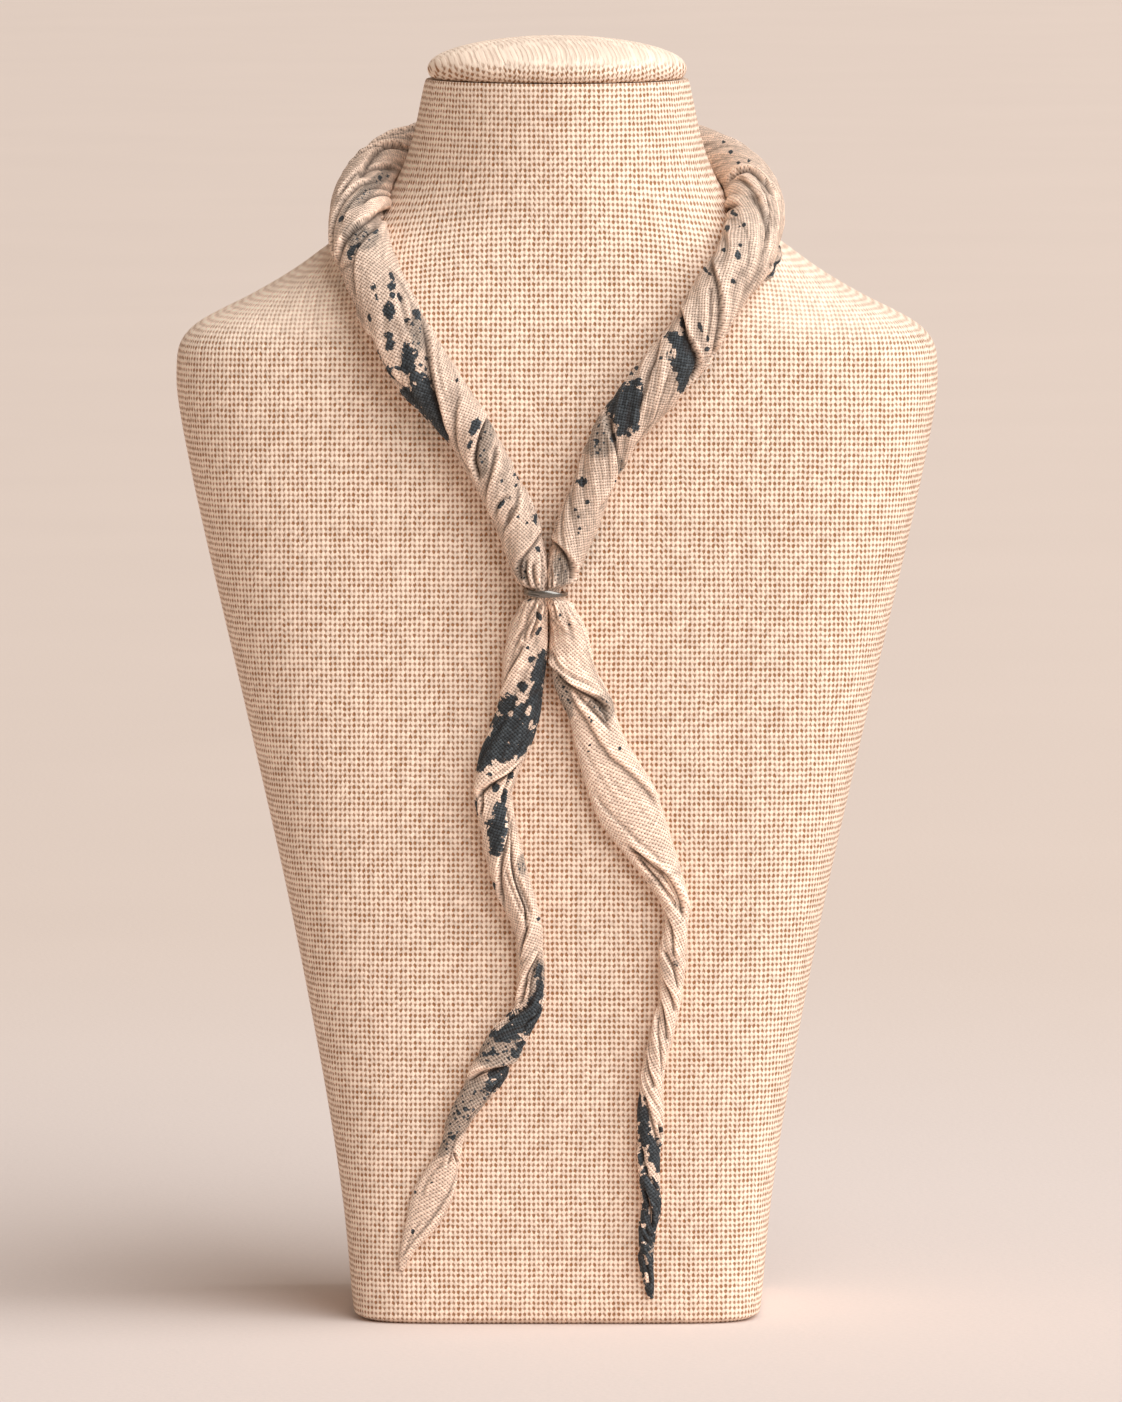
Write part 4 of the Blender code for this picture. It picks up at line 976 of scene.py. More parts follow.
def cloth_finish(name, look, lean, painted_light_of_piece):
    """Printed cotton: sand ground, ink whose ragged edges break up along the threads, and shade painted in
    the grooves.
    """
    finish = Finish(name, 0.88)
    u, v = finish.pattern("weave")
    place = finish.place()
    c, s = math.cos(lean), math.sin(lean)
    sway = (finish.noise(place, 60.0) - 0.5) * 3.0
    along = (u * c + v * s) / look.pitch + sway
    across = (v * c - u * s) / look.pitch + sway * 0.7
    height, pore, tone = weave(finish, along, across, 0.7)
    grain = finish.chance_of_two(along.floor(), across.floor())
    rough = finish.noise(place, 1900.0, 2.0)

    cloudy = finish.noise(place, 120.0, 3.0)
    # Raised threads are painted paler, a painted highlight on the weave; tone, grain and the noises vary at
    # random.
    lit = 0.50 + 0.16 * tone + 0.30 * grain + 0.30 * height
    lit = lit * (0.86 + 0.28 * cloudy) * (0.76 + 0.48 * rough)
    # Painted highlight and shade: what stands above the cloth round it is painted paler, and what lies lower
    # darker.
    proud = 1 + 0.30 * finish.painted("proud")
    # The piece's own factor is a painted light and shade over the whole piece: darker on the collar, paler
    # on the right tail.
    ground = finish.shade(tuple(look.sand), lit * painted_light_of_piece * proud)
    ground = finish.blend(pore * 0.85, ground, tuple(look.gap))

    # The ink runs out along both threads and skips over some of them.
    run_one = finish.noise(finish.point(along * 0.75, across * 0.20, 2.0), 1.0, 2.0)
    run_two = finish.noise(finish.point(along * 0.20, across * 0.75, 8.0), 1.0, 2.0)
    ragged = (run_one.most(run_two) - 0.57) * 5.0 + (finish.noise(place, 420.0, 3.0, 0.6) - 0.5) * 1.5
    blotted = finish.painted("ink")
    ink_field = blotted + ragged * 0.62 * blotted.step(0.02, 0.35)
    ink_field = ink_field + (grain - 0.5) * 0.16 + (height - 0.6) * 0.10
    ink = ink_field.step(0.38, 0.47)
    # The grey haze, in a few places partly painted shade.
    haze_field = finish.painted("haze")
    hazed = (haze_field * (0.5 + 1.5 * run_one)).step(0.18, 0.80) * (1.0 - 0.25 * height)
    specks = finish.dots(place, 780.0) - 0.30 * haze_field - 0.22 * blotted.step(0.05, 0.6)
    ink = ink.most(specks.step(0.03, -0.02))
    ground = finish.blend(hazed.most(0.0) * 0.85, ground, tuple(look.haze))
    # The ink is painted paler on raised threads, a painted highlight, and takes the relief's painted
    # highlight and shade twice over.
    dark = finish.shade(tuple(look.ink), (0.35 + 1.9 * height * (0.3 + 0.7 * grain)) * proud ** 2)
    printed = finish.blend(ink, ground, dark)
    # Painted shade: the creases, wrinkle valleys and pleat troughs are darkened towards the crease shade
    # colour.
    groove = finish.painted("groove").least(1.0)
    finish.colour(finish.blend(groove * 0.88, printed, tuple(look.crease_shade)))
    finish.relief(height - 0.8 * pore + 0.5 * rough, 0.42 * look.pitch, 0.95)
    return finish.material


def steel_finish(name, look):
    finish = Finish(name, look.roughness, 1.0)
    place = finish.place()
    x, y, z = finish.parts(place)
    drawn = finish.noise(finish.point(x * 900.0, y * 900.0, z * 5200.0), 1.0, 3.0)
    worn = finish.noise(place, 700.0, 2.0)
    finish.colour(finish.shade(tuple(look.steel), 0.7 + 0.6 * drawn))
    finish.roughness(look.roughness + 0.25 * worn - 0.08)
    finish.relief(drawn, 0.00004, 0.5)
    return finish.material


def floor_finish(name, look):
    """Matt paper, paler round the bust than further away."""
    finish = Finish(name, 0.95)
    place = finish.place()
    x, y, _ = finish.parts(place)
    away = (x ** 2 + y ** 2).root()
    grain = finish.noise(place, 700.0, 3.0)
    cloudy = finish.noise(place, 5.0, 3.0)
    tone = finish.blend(away.step(0.18, 0.95), tuple(look.near), tuple(look.far))
    # Painted light: a little paler on the right, as seen from the camera, the side the key light comes from.
    painted_light_on_right = (x / (y + CAMERA_DISTANCE)).least(0.05).most(-0.05)
    finish.colour(finish.shade(tone, (0.93 + 0.09 * grain + 0.05 * cloudy) * (1 + 0.7 * painted_light_on_right)))
    finish.relief(grain, 0.0002, 0.3)
    return finish.material


def curve_between(rows, steps):
    """Catmull-Rom through rows of numbers, with this many steps from row to row."""
    rows = np.asarray(rows, float)
    padded = np.vstack([rows[:1], rows, rows[-1:]])
    t = np.arange(steps)[:, None] / steps
    pieces = []
    for a, b, c, d in zip(padded, padded[1:], padded[2:], padded[3:]):
        pieces.append(0.5 * (
            2 * b + (c - a) * t + (2 * a - 5 * b + 4 * c - d) * t**2 + (3 * b - a - 3 * c + d) * t**3))
    return np.vstack([*pieces, rows[-1:]])


def smooth_step(low, high, x):
    """0 as far as low, 1 from high on, and smooth between."""
    t = np.clip((x - low) / (high - low), 0, 1)
    return t * t * (3 - 2 * t)


def lattice_noise(across, along, around, seed):
    """Smooth random numbers from -1 to 1, which repeat after around cells across."""
    length = 97
    lattice = np.random.default_rng(seed).uniform(-1, 1, (around, length))
    i, j = np.floor(across).astype(int), np.floor(along).astype(int)
    s, t = across - i, along - j
    s, t = s * s * (3 - 2 * s), t * t * (3 - 2 * t)
    left, right = i % around, (i + 1) % around
    low, high = j % length, (j + 1) % length
    a = lattice[left, low] * (1 - s) + lattice[right, low] * s
    b = lattice[left, high] * (1 - s) + lattice[right, high] * s
    return a * (1 - t) + b * t


def bust_sizes(height):
    """The bust's sizes at each of some heights, read between its rows."""
    table = np.asarray(BUST_ROWS)
    return [np.interp(height, table[:, 0], table[:, k]) for k in range(1, 5)]


def bust_at(points):
    """The bust's half width, its depth before or behind the middle, and its squareness, for each point."""
    half_width, front, back, squareness = bust_sizes(points[..., 2])
    return half_width, np.where(points[..., 1] < 0, front, back), squareness


def bust_outward(points):
    """The level direction away from the bust's side at each point."""
    half_width, depth, n = bust_at(points)
    x = np.sign(points[..., 0]) * (np.abs(points[..., 0]) / half_width) ** (n - 1) / half_width
    y = np.sign(points[..., 1]) * (np.abs(points[..., 1]) / depth) ** (n - 1) / depth
    away = np.stack([x, y, np.zeros_like(x)], -1)
    return away / np.linalg.norm(away, axis=-1, keepdims=True)


def clear_of_bust(points):
    """Cloth lies flat where it would sink into the bust."""
    half_width, depth, n = bust_at(points)
    reach = ((np.abs(points[..., 0]) / half_width) ** n + (np.abs(points[..., 1]) / depth) ** n) ** (1 / n)
    level = np.hypot(points[..., 0], points[..., 1])
    grown = np.maximum(1.0, (1 + CLOTH_GAP / level) / reach)
    moved = points.copy()
    moved[..., 0] *= grown
    moved[..., 1] *= grown
    return moved


def inside_ring(points):
    """The ring squeezes the cloth, which widens again above and below it."""
    past = np.maximum(0.0, np.abs(points[..., 2] - RING_MIDDLE[2]) - PINCH_HALF_HEIGHT)
    allowed = RING_COIL_RADIUS - RING_SPREAD - RING_WIRE_RADIUS - PINCH_CLEARANCE + past * PINCH_SLOPE
    x, y = points[..., 0] - RING_MIDDLE[0], points[..., 1] - RING_MIDDLE[1]
    shrink = np.minimum(1.0, allowed / np.maximum(np.hypot(x, y), 1e-6))
    moved = points.copy()
    moved[..., 0] = RING_MIDDLE[0] + x * shrink
    moved[..., 1] = RING_MIDDLE[1] + y * shrink
    return moved


def on_chest(across, height, depth):
    """The middle of a strand that lies on the front of the bust."""
    half_width, front, _, n = (float(size) for size in bust_sizes(height))
    share = 1 - (abs(across) / half_width) ** n
    surface = front * share ** (1 / n)
    past = max(0.0, abs(height - RING_MIDDLE[2]) - PINCH_HALF_HEIGHT)
    in_ring = math.exp(-((past / RING_REACH) ** 2))
    out = -(surface + CLOTH_GAP + depth / 2 - CLOTH_SINK)
    out += (RING_MIDDLE[1] - out) * in_ring
    return (across, out, height)


def four_nearest(far):
    """The indices of the four least of some squared distances, and the weight of each, which sum to 1."""
    nearest = np.argpartition(far, 4)[:4]
    weight = 1 / (far[nearest] + 0.01)
    return nearest, weight / weight.sum()


def add_object(name, data):
    made = bpy.data.objects.new(name, data)
    bpy.context.scene.collection.objects.link(made)
    return made


def new_mesh(name, points, faces, edges=()):
    mesh = bpy.data.meshes.new(name)
    mesh.from_pydata(points, edges, faces)
    mesh.update()
    return mesh


def tube_faces(rings, around):
    """Four-sided faces from each ring of points to the next."""
    faces = []
    for i in range(rings - 1):
        for j in range(around):
            k = (j + 1) % around
            faces.append((i * around + j, i * around + k, (i + 1) * around + k, (i + 1) * around + j))
    return faces


class Strand:
    """A stretch of rope as a grid of points, rings along it by places round it, and the relief on them."""

    def __init__(self, rows, side, around, spacing, turns=None):
        path = curve_between(rows, PATH_STEPS)
        lengths = np.concatenate([[0], np.cumsum(np.linalg.norm(np.diff(path[:, :3], axis=0), axis=1))])
        self.whole = lengths[-1]
        if turns is not None:
            path = np.column_stack([path[:, :5], turns(lengths, self.whole)])
        self.along = spacing(self.whole)
        # The collar is on the left of the parting for its first half, and then on the right.
        halves = np.where(self.along < self.whole / 2, -1.0, 1.0)
        self.side = (halves if side == 0 else np.full_like(halves, side))[:, None]

        def read(along, columns):
            return [np.interp(np.clip(along, 0, self.whole), lengths, path[:, k]) for k in columns]

        at = read(self.along, range(6))
        self.middle = np.stack(at[:3], -1)
        self.width, self.depth, self.turn = at[3], at[4], np.radians(at[5])
        ahead, behind = (np.stack(read(self.along + step, range(3)), -1) for step in (0.5, -0.5))
        tangent = ahead - behind
        tangent /= np.linalg.norm(tangent, axis=1, keepdims=True)
        upright = np.stack([0 * at[0], 0 * at[0], np.sign(tangent[:, 2])], -1)
        off_ring = np.abs(self.middle[:, 2] - RING_MIDDLE[2])
        upright_end = PINCH_HALF_HEIGHT + UPRIGHT_REACH
        near = (1 - smooth_step(PINCH_HALF_HEIGHT, upright_end, off_ring))[:, None]
        tangent = tangent * (1 - near) + upright * near
        tangent /= np.linalg.norm(tangent, axis=1, keepdims=True)
        outward = bust_outward(self.middle)
        outward -= tangent * np.sum(outward * tangent, axis=1, keepdims=True)
        outward /= np.linalg.norm(outward, axis=1, keepdims=True)
        self.outward = outward
        self.across = np.cross(outward, tangent)
        self.angle = np.linspace(0, 2 * np.pi, around, endpoint=False)[None, :] + self.turn[:, None]
        self.base, self.normal = self.on_section(self.angle)
        shape = self.angle.shape
        self.height = np.zeros(shape)
        self.groove = np.zeros(shape)
        self.ink = np.zeros(shape)
        self.haze = np.zeros(shape)
        self.beside = {}

    def on_section(self, angle, scale=1.0):
        """Points and their outward directions at these angles round each ring's section."""
        c, s = np.cos(angle)[..., None], np.sin(angle)[..., None]
        half_width = (self.width / 2)[:, None, None]
        half_depth = (self.depth / 2)[:, None, None]
        across, outward = self.across[:, None, :], self.outward[:, None, :]
        points = self.middle[:, None, :] + scale * (across * half_width * c + outward * half_depth * s)
        normal = across * c / half_width + outward * s / half_depth
        return points, normal / np.linalg.norm(normal, axis=-1, keepdims=True)

    def seen_line(self, points):
        """A crease's line on the surface, through places that are given across and up in the front view."""
        front = self.normal[..., 1] < 0.12
        base, normal = self.base[front], self.normal[front]
        line, facing = [], []
        for x, z in curve_between(points, 8):
            nearest, weight = four_nearest((base[:, 0] - x) ** 2 + (base[:, 2] - z) ** 2)
            line.append(weight @ base[nearest])
            facing.append(weight @ normal[nearest])
        return np.array(line), np.array(facing)

    def wound_line(self, start, length, angle, lead):
        """A crease's line that winds with the folds from a place along the strand, for sides out of view."""
        index = np.searchsorted(self.along, np.linspace(start, start + length, 24))
        index = np.unique(np.clip(index, 0, len(self.along) - 1))
        turned = angle + self.turn[index] - self.turn[index[0]] + lead * (self.along[index] - start)
        c, s = np.cos(turned)[:, None], np.sin(turned)[:, None]
        half_width, half_depth = (self.width[index] / 2)[:, None], (self.depth[index] / 2)[:, None]
        across, outward = self.across[index], self.outward[index]
        line = self.middle[index] + across * half_width * c + outward * half_depth * s
        facing = across * c / half_width + outward * s / half_depth
        return line, facing / np.linalg.norm(facing, axis=1, keepdims=True)

    def fold(self, crease, line, facing):
        """Adds one crease's relief round its line, and the shade painted along its line."""
        margin = 3.0 * crease.reach + 1.5
        low, high = line.min(0) - margin, line.max(0) + margin
        close = np.all((self.base > low) & (self.base < high), axis=-1)
        points, normals = self.base[close], self.normal[close]
        start, step = line[:-1], np.diff(line, axis=0)
        length = np.linalg.norm(step, axis=1)
        direction = step / np.maximum(length, 1e-9)[:, None]
        offset = points[:, None, :] - start[None]
        along = np.clip(np.einsum("pkc,kc->pk", offset, direction), 0, length)
        away = offset - along[..., None] * direction
        distance = np.linalg.norm(away, axis=-1)
        nearest = distance.argmin(1)
        pick = np.arange(len(points)), nearest
        away, distance = away[pick], distance[pick]
        travelled = np.concatenate([[0], np.cumsum(length)])
        share = (travelled[nearest] + along[pick]) / travelled[-1]
        face = facing[nearest]
        side = np.sign(np.einsum("pc,pc->p", np.cross(direction[nearest], away), face))
        agree = smooth_step(-0.1, 0.45, np.einsum("pc,pc->p", normals, face))
        signed = side * distance
        fade = smooth_step(0, 0.14, share) * (1 - smooth_step(0.86, 1.0, share))
        weight = (0.12 + 0.88 * fade) * agree * np.exp(-(np.maximum(0, distance - 2 * crease.reach)))
        height = np.zeros(len(points))
        # A trough has a soft ridge on both sides. A lap stands over the hollow on its other side.
        # In both, dark is the shade painted along the line.
        if crease.over == NEITHER:
            height -= crease.groove * np.exp(-((distance / (0.42 * crease.reach)) ** 2))
            height += crease.lip * np.exp(-(((distance - 0.95 * crease.reach) / (0.55 * crease.reach)) ** 2))
            dark = 0.7 * crease.groove * np.exp(-((distance / 0.36) ** 2))
        else:
            over = signed * crease.over
            top = np.maximum(over, 0)
            under = np.maximum(-over, 0)
            height += crease.lip * (1 - np.exp(-((top / 0.6) ** 2))) * np.exp(-top / crease.reach)
            height -= crease.groove * np.exp(-((top / 0.36) ** 2)) * np.exp(-under / (0.55 * crease.reach))
            dark = crease.groove * np.exp(-((top / 0.22) ** 2)) * np.exp(-((under / 0.55) ** 2))
        self.height[close] += RELIEF * height * weight
        self.groove[close] = np.maximum(self.groove[close], dark * weight)
        if crease.name:
            beside = np.full(self.angle.shape, 99.0)
            beside[close] = signed
            self.beside[crease.name] = beside

    def add_creases(self, creases):
        for crease in creases:
            self.fold(crease, *self.seen_line(crease.points))

    def add_hidden_creases(self, first, last, gap, seed):
        """Creases like the ones in front, on the stretch from first to last along the strand."""
        random = np.random.default_rng(seed)
        place = first
        while place < last:
            length = random.uniform(22, 46)
            over = LEFT_HAND if random.random() < 0.6 else RIGHT_HAND
            deep = random.uniform(0.45, 1.0)
            crease = Crease("", over, 0.85 * deep, deep, random.uniform(1.6, 3.2), ())
            angle = random.uniform(0.05, 1.1) * np.pi
            lead = random.uniform(-0.02, 0.03)
            line, facing = self.wound_line(place, min(length, last - place), angle, lead)
            if len(line) > 3:
                self.fold(crease, line, facing)
            place += random.uniform(0.6, 1.4) * gap

    def add_wrinkles(self, amount, across, length, seed, calm=()):
        """Fine uneven folds that run with the twist: sharp little valleys with shade painted in them, and
        finer ridges between them.

        calm is two heights, between which an open stretch of cloth lies nearly smooth.
        """
        turned = (self.angle - self.turn[:, None]) / (2 * np.pi)
        along = self.along[:, None] + 0 * turned
        patchy = 0.55 + 0.45 * lattice_noise(turned * 4, along / 21.0, 4, seed + 90)
        if calm:
            low, high = calm
            z = self.base[..., 2]
            patchy *= 1 - 0.92 * smooth_step(low - 4, low + 6, z) * (1 - smooth_step(high - 6, high + 4, z))
        valley = np.abs(lattice_noise(turned * across + along / 31.0, along / length, across, seed))
        self.height += amount * patchy * (2.2 * valley - 0.8)
        self.groove = np.maximum(self.groove, 0.62 * patchy * (1 - smooth_step(0.0, 0.13, valley)))
        cells = 2 * across + 3
        ridge = np.abs(lattice_noise(turned * cells, along / (0.6 * length), cells, seed + cells))
        self.height += 0.7 * amount * patchy * (1 - 2 * ridge)

    def add_gathers(self, amount, count):
        """Tight pleats where the ring squeezes the cloth, with shade painted in their troughs."""
        off_ring = np.abs(self.middle[:, 2] - RING_MIDDLE[2])[:, None]
        near = np.exp(-((off_ring / GATHER_REACH) ** 2))
        wave = np.cos(self.angle * count + 1.7 * np.sin(3 * self.angle) + 0.25 * off_ring)
        self.height += amount * near * wave
        self.groove = np.maximum(self.groove, 0.55 * near * smooth_step(-0.55, -1.0, wave))

    def add_blots(self, blots):
        """Paints the blots that show from the front, on the points that face it."""
        x, z = self.base[..., 0], self.base[..., 2]
        front = smooth_step(0.25, 0.0, self.normal[..., 1])
        for blot in blots:
            lean = math.radians(blot.lean)
            dx, dz = x - blot.across, z - blot.height
            right = dx * math.cos(lean) + dz * math.sin(lean)
            up = dz * math.cos(lean) - dx * math.sin(lean)
            far = np.hypot(right / blot.half_width, up / blot.half_height)
            grown = 0.14 * min(blot.half_width, blot.half_height)
            field = np.clip(1.5 + grown - far, 0, 1.4) * front
            if blot.edge:
                kept = smooth_step(-0.12, 0.12, self.beside[blot.edge] * blot.keeps)
                field *= np.where(np.abs(self.beside[blot.edge]) > 50, 1.0, kept)
            if blot.kind == BARE:
                self.ink = np.where(front > 0.5, np.minimum(self.ink, np.maximum(far - 0.5, 0)), self.ink)
            elif blot.kind == INK:
                self.ink = np.maximum(self.ink, field)
            else:
                self.haze = np.maximum(self.haze, np.clip(field, 0, 1))

    def add_hidden_blots(self, count, seed):
        """Blots of the same kind on the sides that the front view doesn't show."""
        random = np.random.default_rng(seed)
        hidden = np.argwhere(self.normal[..., 1] > 0.2)
        flat = self.base.reshape(-1, 3)
        for _ in range(count):
            i, j = hidden[random.integers(len(hidden))]
            middle = self.base[i, j]
            large = random.random() < 0.22
            for _ in range(5 if large else 1):
                reach = random.uniform(1.2, 2.8) if large else random.uniform(0.35, 0.9)
                spot = middle + (random.normal(0, 1.6, 3) if large else 0)
                far = np.linalg.norm(flat - spot, axis=1).reshape(self.angle.shape) / reach
                behind = smooth_step(0.0, 0.25, self.normal[..., 1])
                self.ink = np.maximum(self.ink, np.clip(1.5 - far, 0, 1.4) * behind)
                self.haze = np.maximum(self.haze, np.clip(1.1 - 0.35 * far, 0, 0.7) * behind * large)

    def outer_points(self):
        """The finished outside of the cloth."""
        height = np.clip(self.height, LOWEST, HIGHEST)
        small = np.minimum(self.width, self.depth)[:, None] / 2
        height = height * smooth_step(0.0, 2.4, small)
        points = self.base + self.normal * height[..., None]
        points = clear_of_bust(inside_ring(points))
        x = points[..., 0]
        edge = PARTING_ACROSS + self.side * PARTING_GAP
        parted = np.where(self.side > 0, np.maximum(x, edge), np.minimum(x, edge))
        near_parting = np.abs(self.base[..., 2] - RING_MIDDLE[2]) < PARTING_REACH
        points[..., 0] = np.where(near_parting, parted, x)
        return points

    def hem_line(self, points, outer):
        """A line of stitches along a crease's line, on the finished cloth, and the way it faces."""
        line, facing = self.seen_line(points)
        flat, finished = self.base.reshape(-1, 3), outer.reshape(-1, 3)
        moved = []
        for place in line:
            nearest, weight = four_nearest(np.sum((flat - place) ** 2, axis=1))
            moved.append(weight @ finished[nearest])
        return np.array(moved) + STITCH_LIFT * facing, facing

    def proud(self):
        """How far each point stands above the mean of the cloth round it, from -1 to 1, for painted
        highlight and shade.
        """
        mean = self.height
        for _ in range(BLUR_STEPS):
            across = (np.roll(mean, 1, 1) + mean + np.roll(mean, -1, 1)) / 3
            ends = np.concatenate([across[:1], across, across[-1:]])
            mean = (ends[:-2] + ends[1:-1] + ends[2:]) / 3
        return np.clip((self.height - mean) / PROUD_HEIGHT, -1, 1)

    def girth(self):
        """How far it is round the strand, as a mean over its rings."""
        closed = np.concatenate([self.base, self.base[:, :1]], axis=1)
        return float(np.mean(np.linalg.norm(np.diff(closed, axis=1), axis=-1).sum(1)))


def cloth_mesh(name, strand, hollow, tip):
    """A closed shell: the creased outside, a plainer inside, and a rim where the strand is open."""
    outer = strand.outer_points()
    rings, around = outer.shape[:2]
    last_ring = rings - 1 - (RINGS_BEFORE_TIP if tip else 0)
    inner_rings = np.unique(np.linspace(0, last_ring, rings // INNER_SPARSE).astype(int))
    inner_places = np.arange(0, around, 2)
    inside, _ = strand.on_section(strand.angle, hollow)
    inner = clear_of_bust(inside[np.ix_(inner_rings, inner_places)])
    points = [*outer.reshape(-1, 3)]
    first_inner = len(points)
    points += [*inner.reshape(-1, 3)]
    faces = []

    def grid(first, rows, columns, outward):
        quads = np.array(tube_faces(rows, columns)) + first
        faces.extend((quads if outward else quads[:, ::-1]).tolist())

    grid(0, rings, around, True)
    half = len(inner_places)
    grid(first_inner, len(inner_rings), half, False)

    def rim(outer_first, inner_first, outward):
        for j in range(half):
            a, b, c = (outer_first + (2 * j + k) % around for k in range(3))
            d, e = inner_first + j, inner_first + (j + 1) % half
            for face in ((a, d, b), (b, d, e), (b, e, c)):
                faces.append(list(face if outward else face[::-1]))

    def cap(first, count, outward):
        ring = np.array(points[first:first + count])
        points.append(ring.mean(0))
        for j in range(count):
            face = [first + j, first + (j + 1) % count, len(points) - 1]
            faces.append(face if outward else face[::-1])

    rim(0, first_inner, True)
    last_outer, last_inner = (rings - 1) * around, first_inner + (len(inner_rings) - 1) * half
    if tip:
        cap(last_outer, around, True)
        cap(last_inner, half, False)
    else:
        rim(last_outer, last_inner, False)

    mesh = new_mesh(name, (np.array(points) * MM).tolist(), faces)
    # Besides the print, these hold the shade painted in the creases and the painted highlight and shade of
    # the relief.
    painted = {"ink": strand.ink, "haze": strand.haze, "groove": strand.groove, "proud": strand.proud()}
    for number_name, values in painted.items():
        paint(mesh, number_name, values)
    map_cloth(mesh, strand)
    mesh.shade_smooth()
    recalculate(mesh)
    return add_object(name, mesh)


def paint(mesh, name, values):
    """A number on each of the outside's points, and 0 on the others."""
    painted = np.zeros(len(mesh.vertices), np.float32)
    painted[:values.size] = values.ravel()
    mesh.attributes.new(name, "FLOAT", "POINT").data.foreach_set("value", painted)


def map_cloth(mesh, strand):
    """A UV map in metres: round the strand from its front, and along it."""
    front = np.mod(strand.angle - np.pi / 2 + np.pi, 2 * np.pi) - np.pi
    radius = (strand.width + strand.depth)[:, None] / 4

    def on_points(values):
        spread = np.zeros(len(mesh.vertices))
        spread[:front.size] = np.broadcast_to(values, front.shape).ravel()
        return spread

    def read(items, field):
        values = np.zeros(len(items), int)
        items.foreach_get(field, values)
        return values

    around, along = on_points(front * radius), on_points(strand.along[:, None])
    girth = on_points(2 * np.pi * radius)
    corners = read(mesh.loops, "vertex_index")
    starts, totals = read(mesh.polygons, "loop_start"), read(mesh.polygons, "loop_total")
    face_of = np.repeat(np.arange(len(totals)), totals)
    u = around[corners]
    most = np.maximum.reduceat(u, starts)[face_of]
    u = np.where(most - u > girth[corners] / 2, u + girth[corners], u)
    layer = mesh.uv_layers.new(name="weave")
    layer.data.foreach_set("uv", np.stack([u, along[corners]], -1).ravel() * MM)


def recalculate(mesh):
    """Turns the faces outward."""
    bm = bmesh.new()
    bm.from_mesh(mesh)
    bmesh.ops.recalc_face_normals(bm, faces=bm.faces[:])
    bm.to_mesh(mesh)
    bm.free()


def dress(piece, material):
    """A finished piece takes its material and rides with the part."""
    piece.data.materials.clear()
    piece.data.materials.append(material)
    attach(piece, "root")
    return piece


def turned_mesh(name, rings, top):
    """A closed mesh through level rings, shut flat below, and at the point top above."""
    rings = np.asarray(rings, float)
    count, around = rings.shape[:2]
    points = [*rings.reshape(-1, 3), (0, 0, rings[0, 0, 2]), top]
    faces = tube_faces(count, around)
    bottom, peak = len(points) - 2, len(points) - 1
    for j in range(around):
        k = (j + 1) % around
        faces.append((k, j, bottom))
        faces.append(((count - 1) * around + j, (count - 1) * around + k, peak))
    mesh = new_mesh(name, [tuple(np.asarray(p) * MM) for p in points], faces)
    recalculate(mesh)
    mesh.shade_smooth()
    mesh.set_sharp_from_angle(angle=math.radians(50))
    return add_object(name, mesh)


def bust_rings(rows, around):
    """Level rings of points round the bust, each from the middle of the back and round by the left."""
    angle = np.linspace(0, 2 * np.pi, around, endpoint=False) + np.pi / 2
    c, s = np.cos(angle), np.sin(angle)
    rings = []
    for height, half_width, front, back, squareness in rows:
        power = 2 / squareness
        depth = np.where(s > 0, back, front)
        x = np.sign(c) * np.abs(c) ** power * half_width
        y = np.sign(s) * np.abs(s) ** power * depth
        rings.append(np.stack([x, y, np.full_like(x, height)], -1))
    return np.array(rings)


def map_linen(mesh, rings, over_shoulder):
    """A UV map in metres: round the bust from the middle of its front, and up it."""
    count, around = rings.shape[:2]
    closed = np.concatenate([rings, rings[:, :1]], axis=1)
    step = np.linalg.norm(np.diff(closed, axis=1), axis=-1)
    travelled = np.concatenate([np.zeros((count, 1)), np.cumsum(step, axis=1)], axis=1)
    half = around // 2
    travelled -= travelled[:, half:half + 1]
    # On the shoulders the rows follow the slope, and behind the collar they draw level again.
    rise = np.diff(rings[..., 2], axis=0)
    slide = np.linalg.norm(np.diff(rings[..., :2], axis=0), axis=-1)
    slide *= smooth_step(*SHOULDER_ACROSS, np.abs(rings[1:, :, 0]))
    grown = np.cumsum(np.hypot(rise, slide * over_shoulder) - rise, axis=0)
    level = smooth_step(*LEVEL_HEIGHTS, rings[..., 2])
    up = rings[..., 2] + np.concatenate([np.zeros((1, around)), grown]) * (1 - level)
    up = np.concatenate([up, up[:, :1]], axis=1)
    layer = mesh.uv_layers.new(name="weave")
    for face in mesh.polygons:
        places = [mesh.loops[i].vertex_index for i in face.loop_indices]
        wraps = any(p % around == 0 for p in places) and any(p % around == around - 1 for p in places)
        for i, place in zip(face.loop_indices, places):
            if place >= count * around:
                layer.data[i].uv = (0.0, 0.0)
                continue
            row, column = divmod(place, around)
            if wraps and column == 0:
                column = around
            layer.data[i].uv = (travelled[row, column] * MM, up[row, column] * MM)


class BANDANA_OT_bust(bpy.types.Operator):
    """The linen-covered body and neck of the display bust"""

    bl_idname = "bandana.bust"
    bl_label = "Linen Bust"

    def execute(self, context):
        rows = curve_between(BUST_ROWS, 7)
        rows = rows[np.concatenate([[True], np.diff(rows[:, 0]) > 0.05])]
        rings = bust_rings(rows, BUST_AROUND)
        made = turned_mesh("linen_bust", rings, (0, 0, rows[-1][0]))
        map_linen(made.data, rings, over_shoulder=0.45)
        linen = linen_finish("linen", context.scene.bandana_bust, sway=0.8)
        dress(made, linen)
        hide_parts("bust_torso")
        return {"FINISHED"}


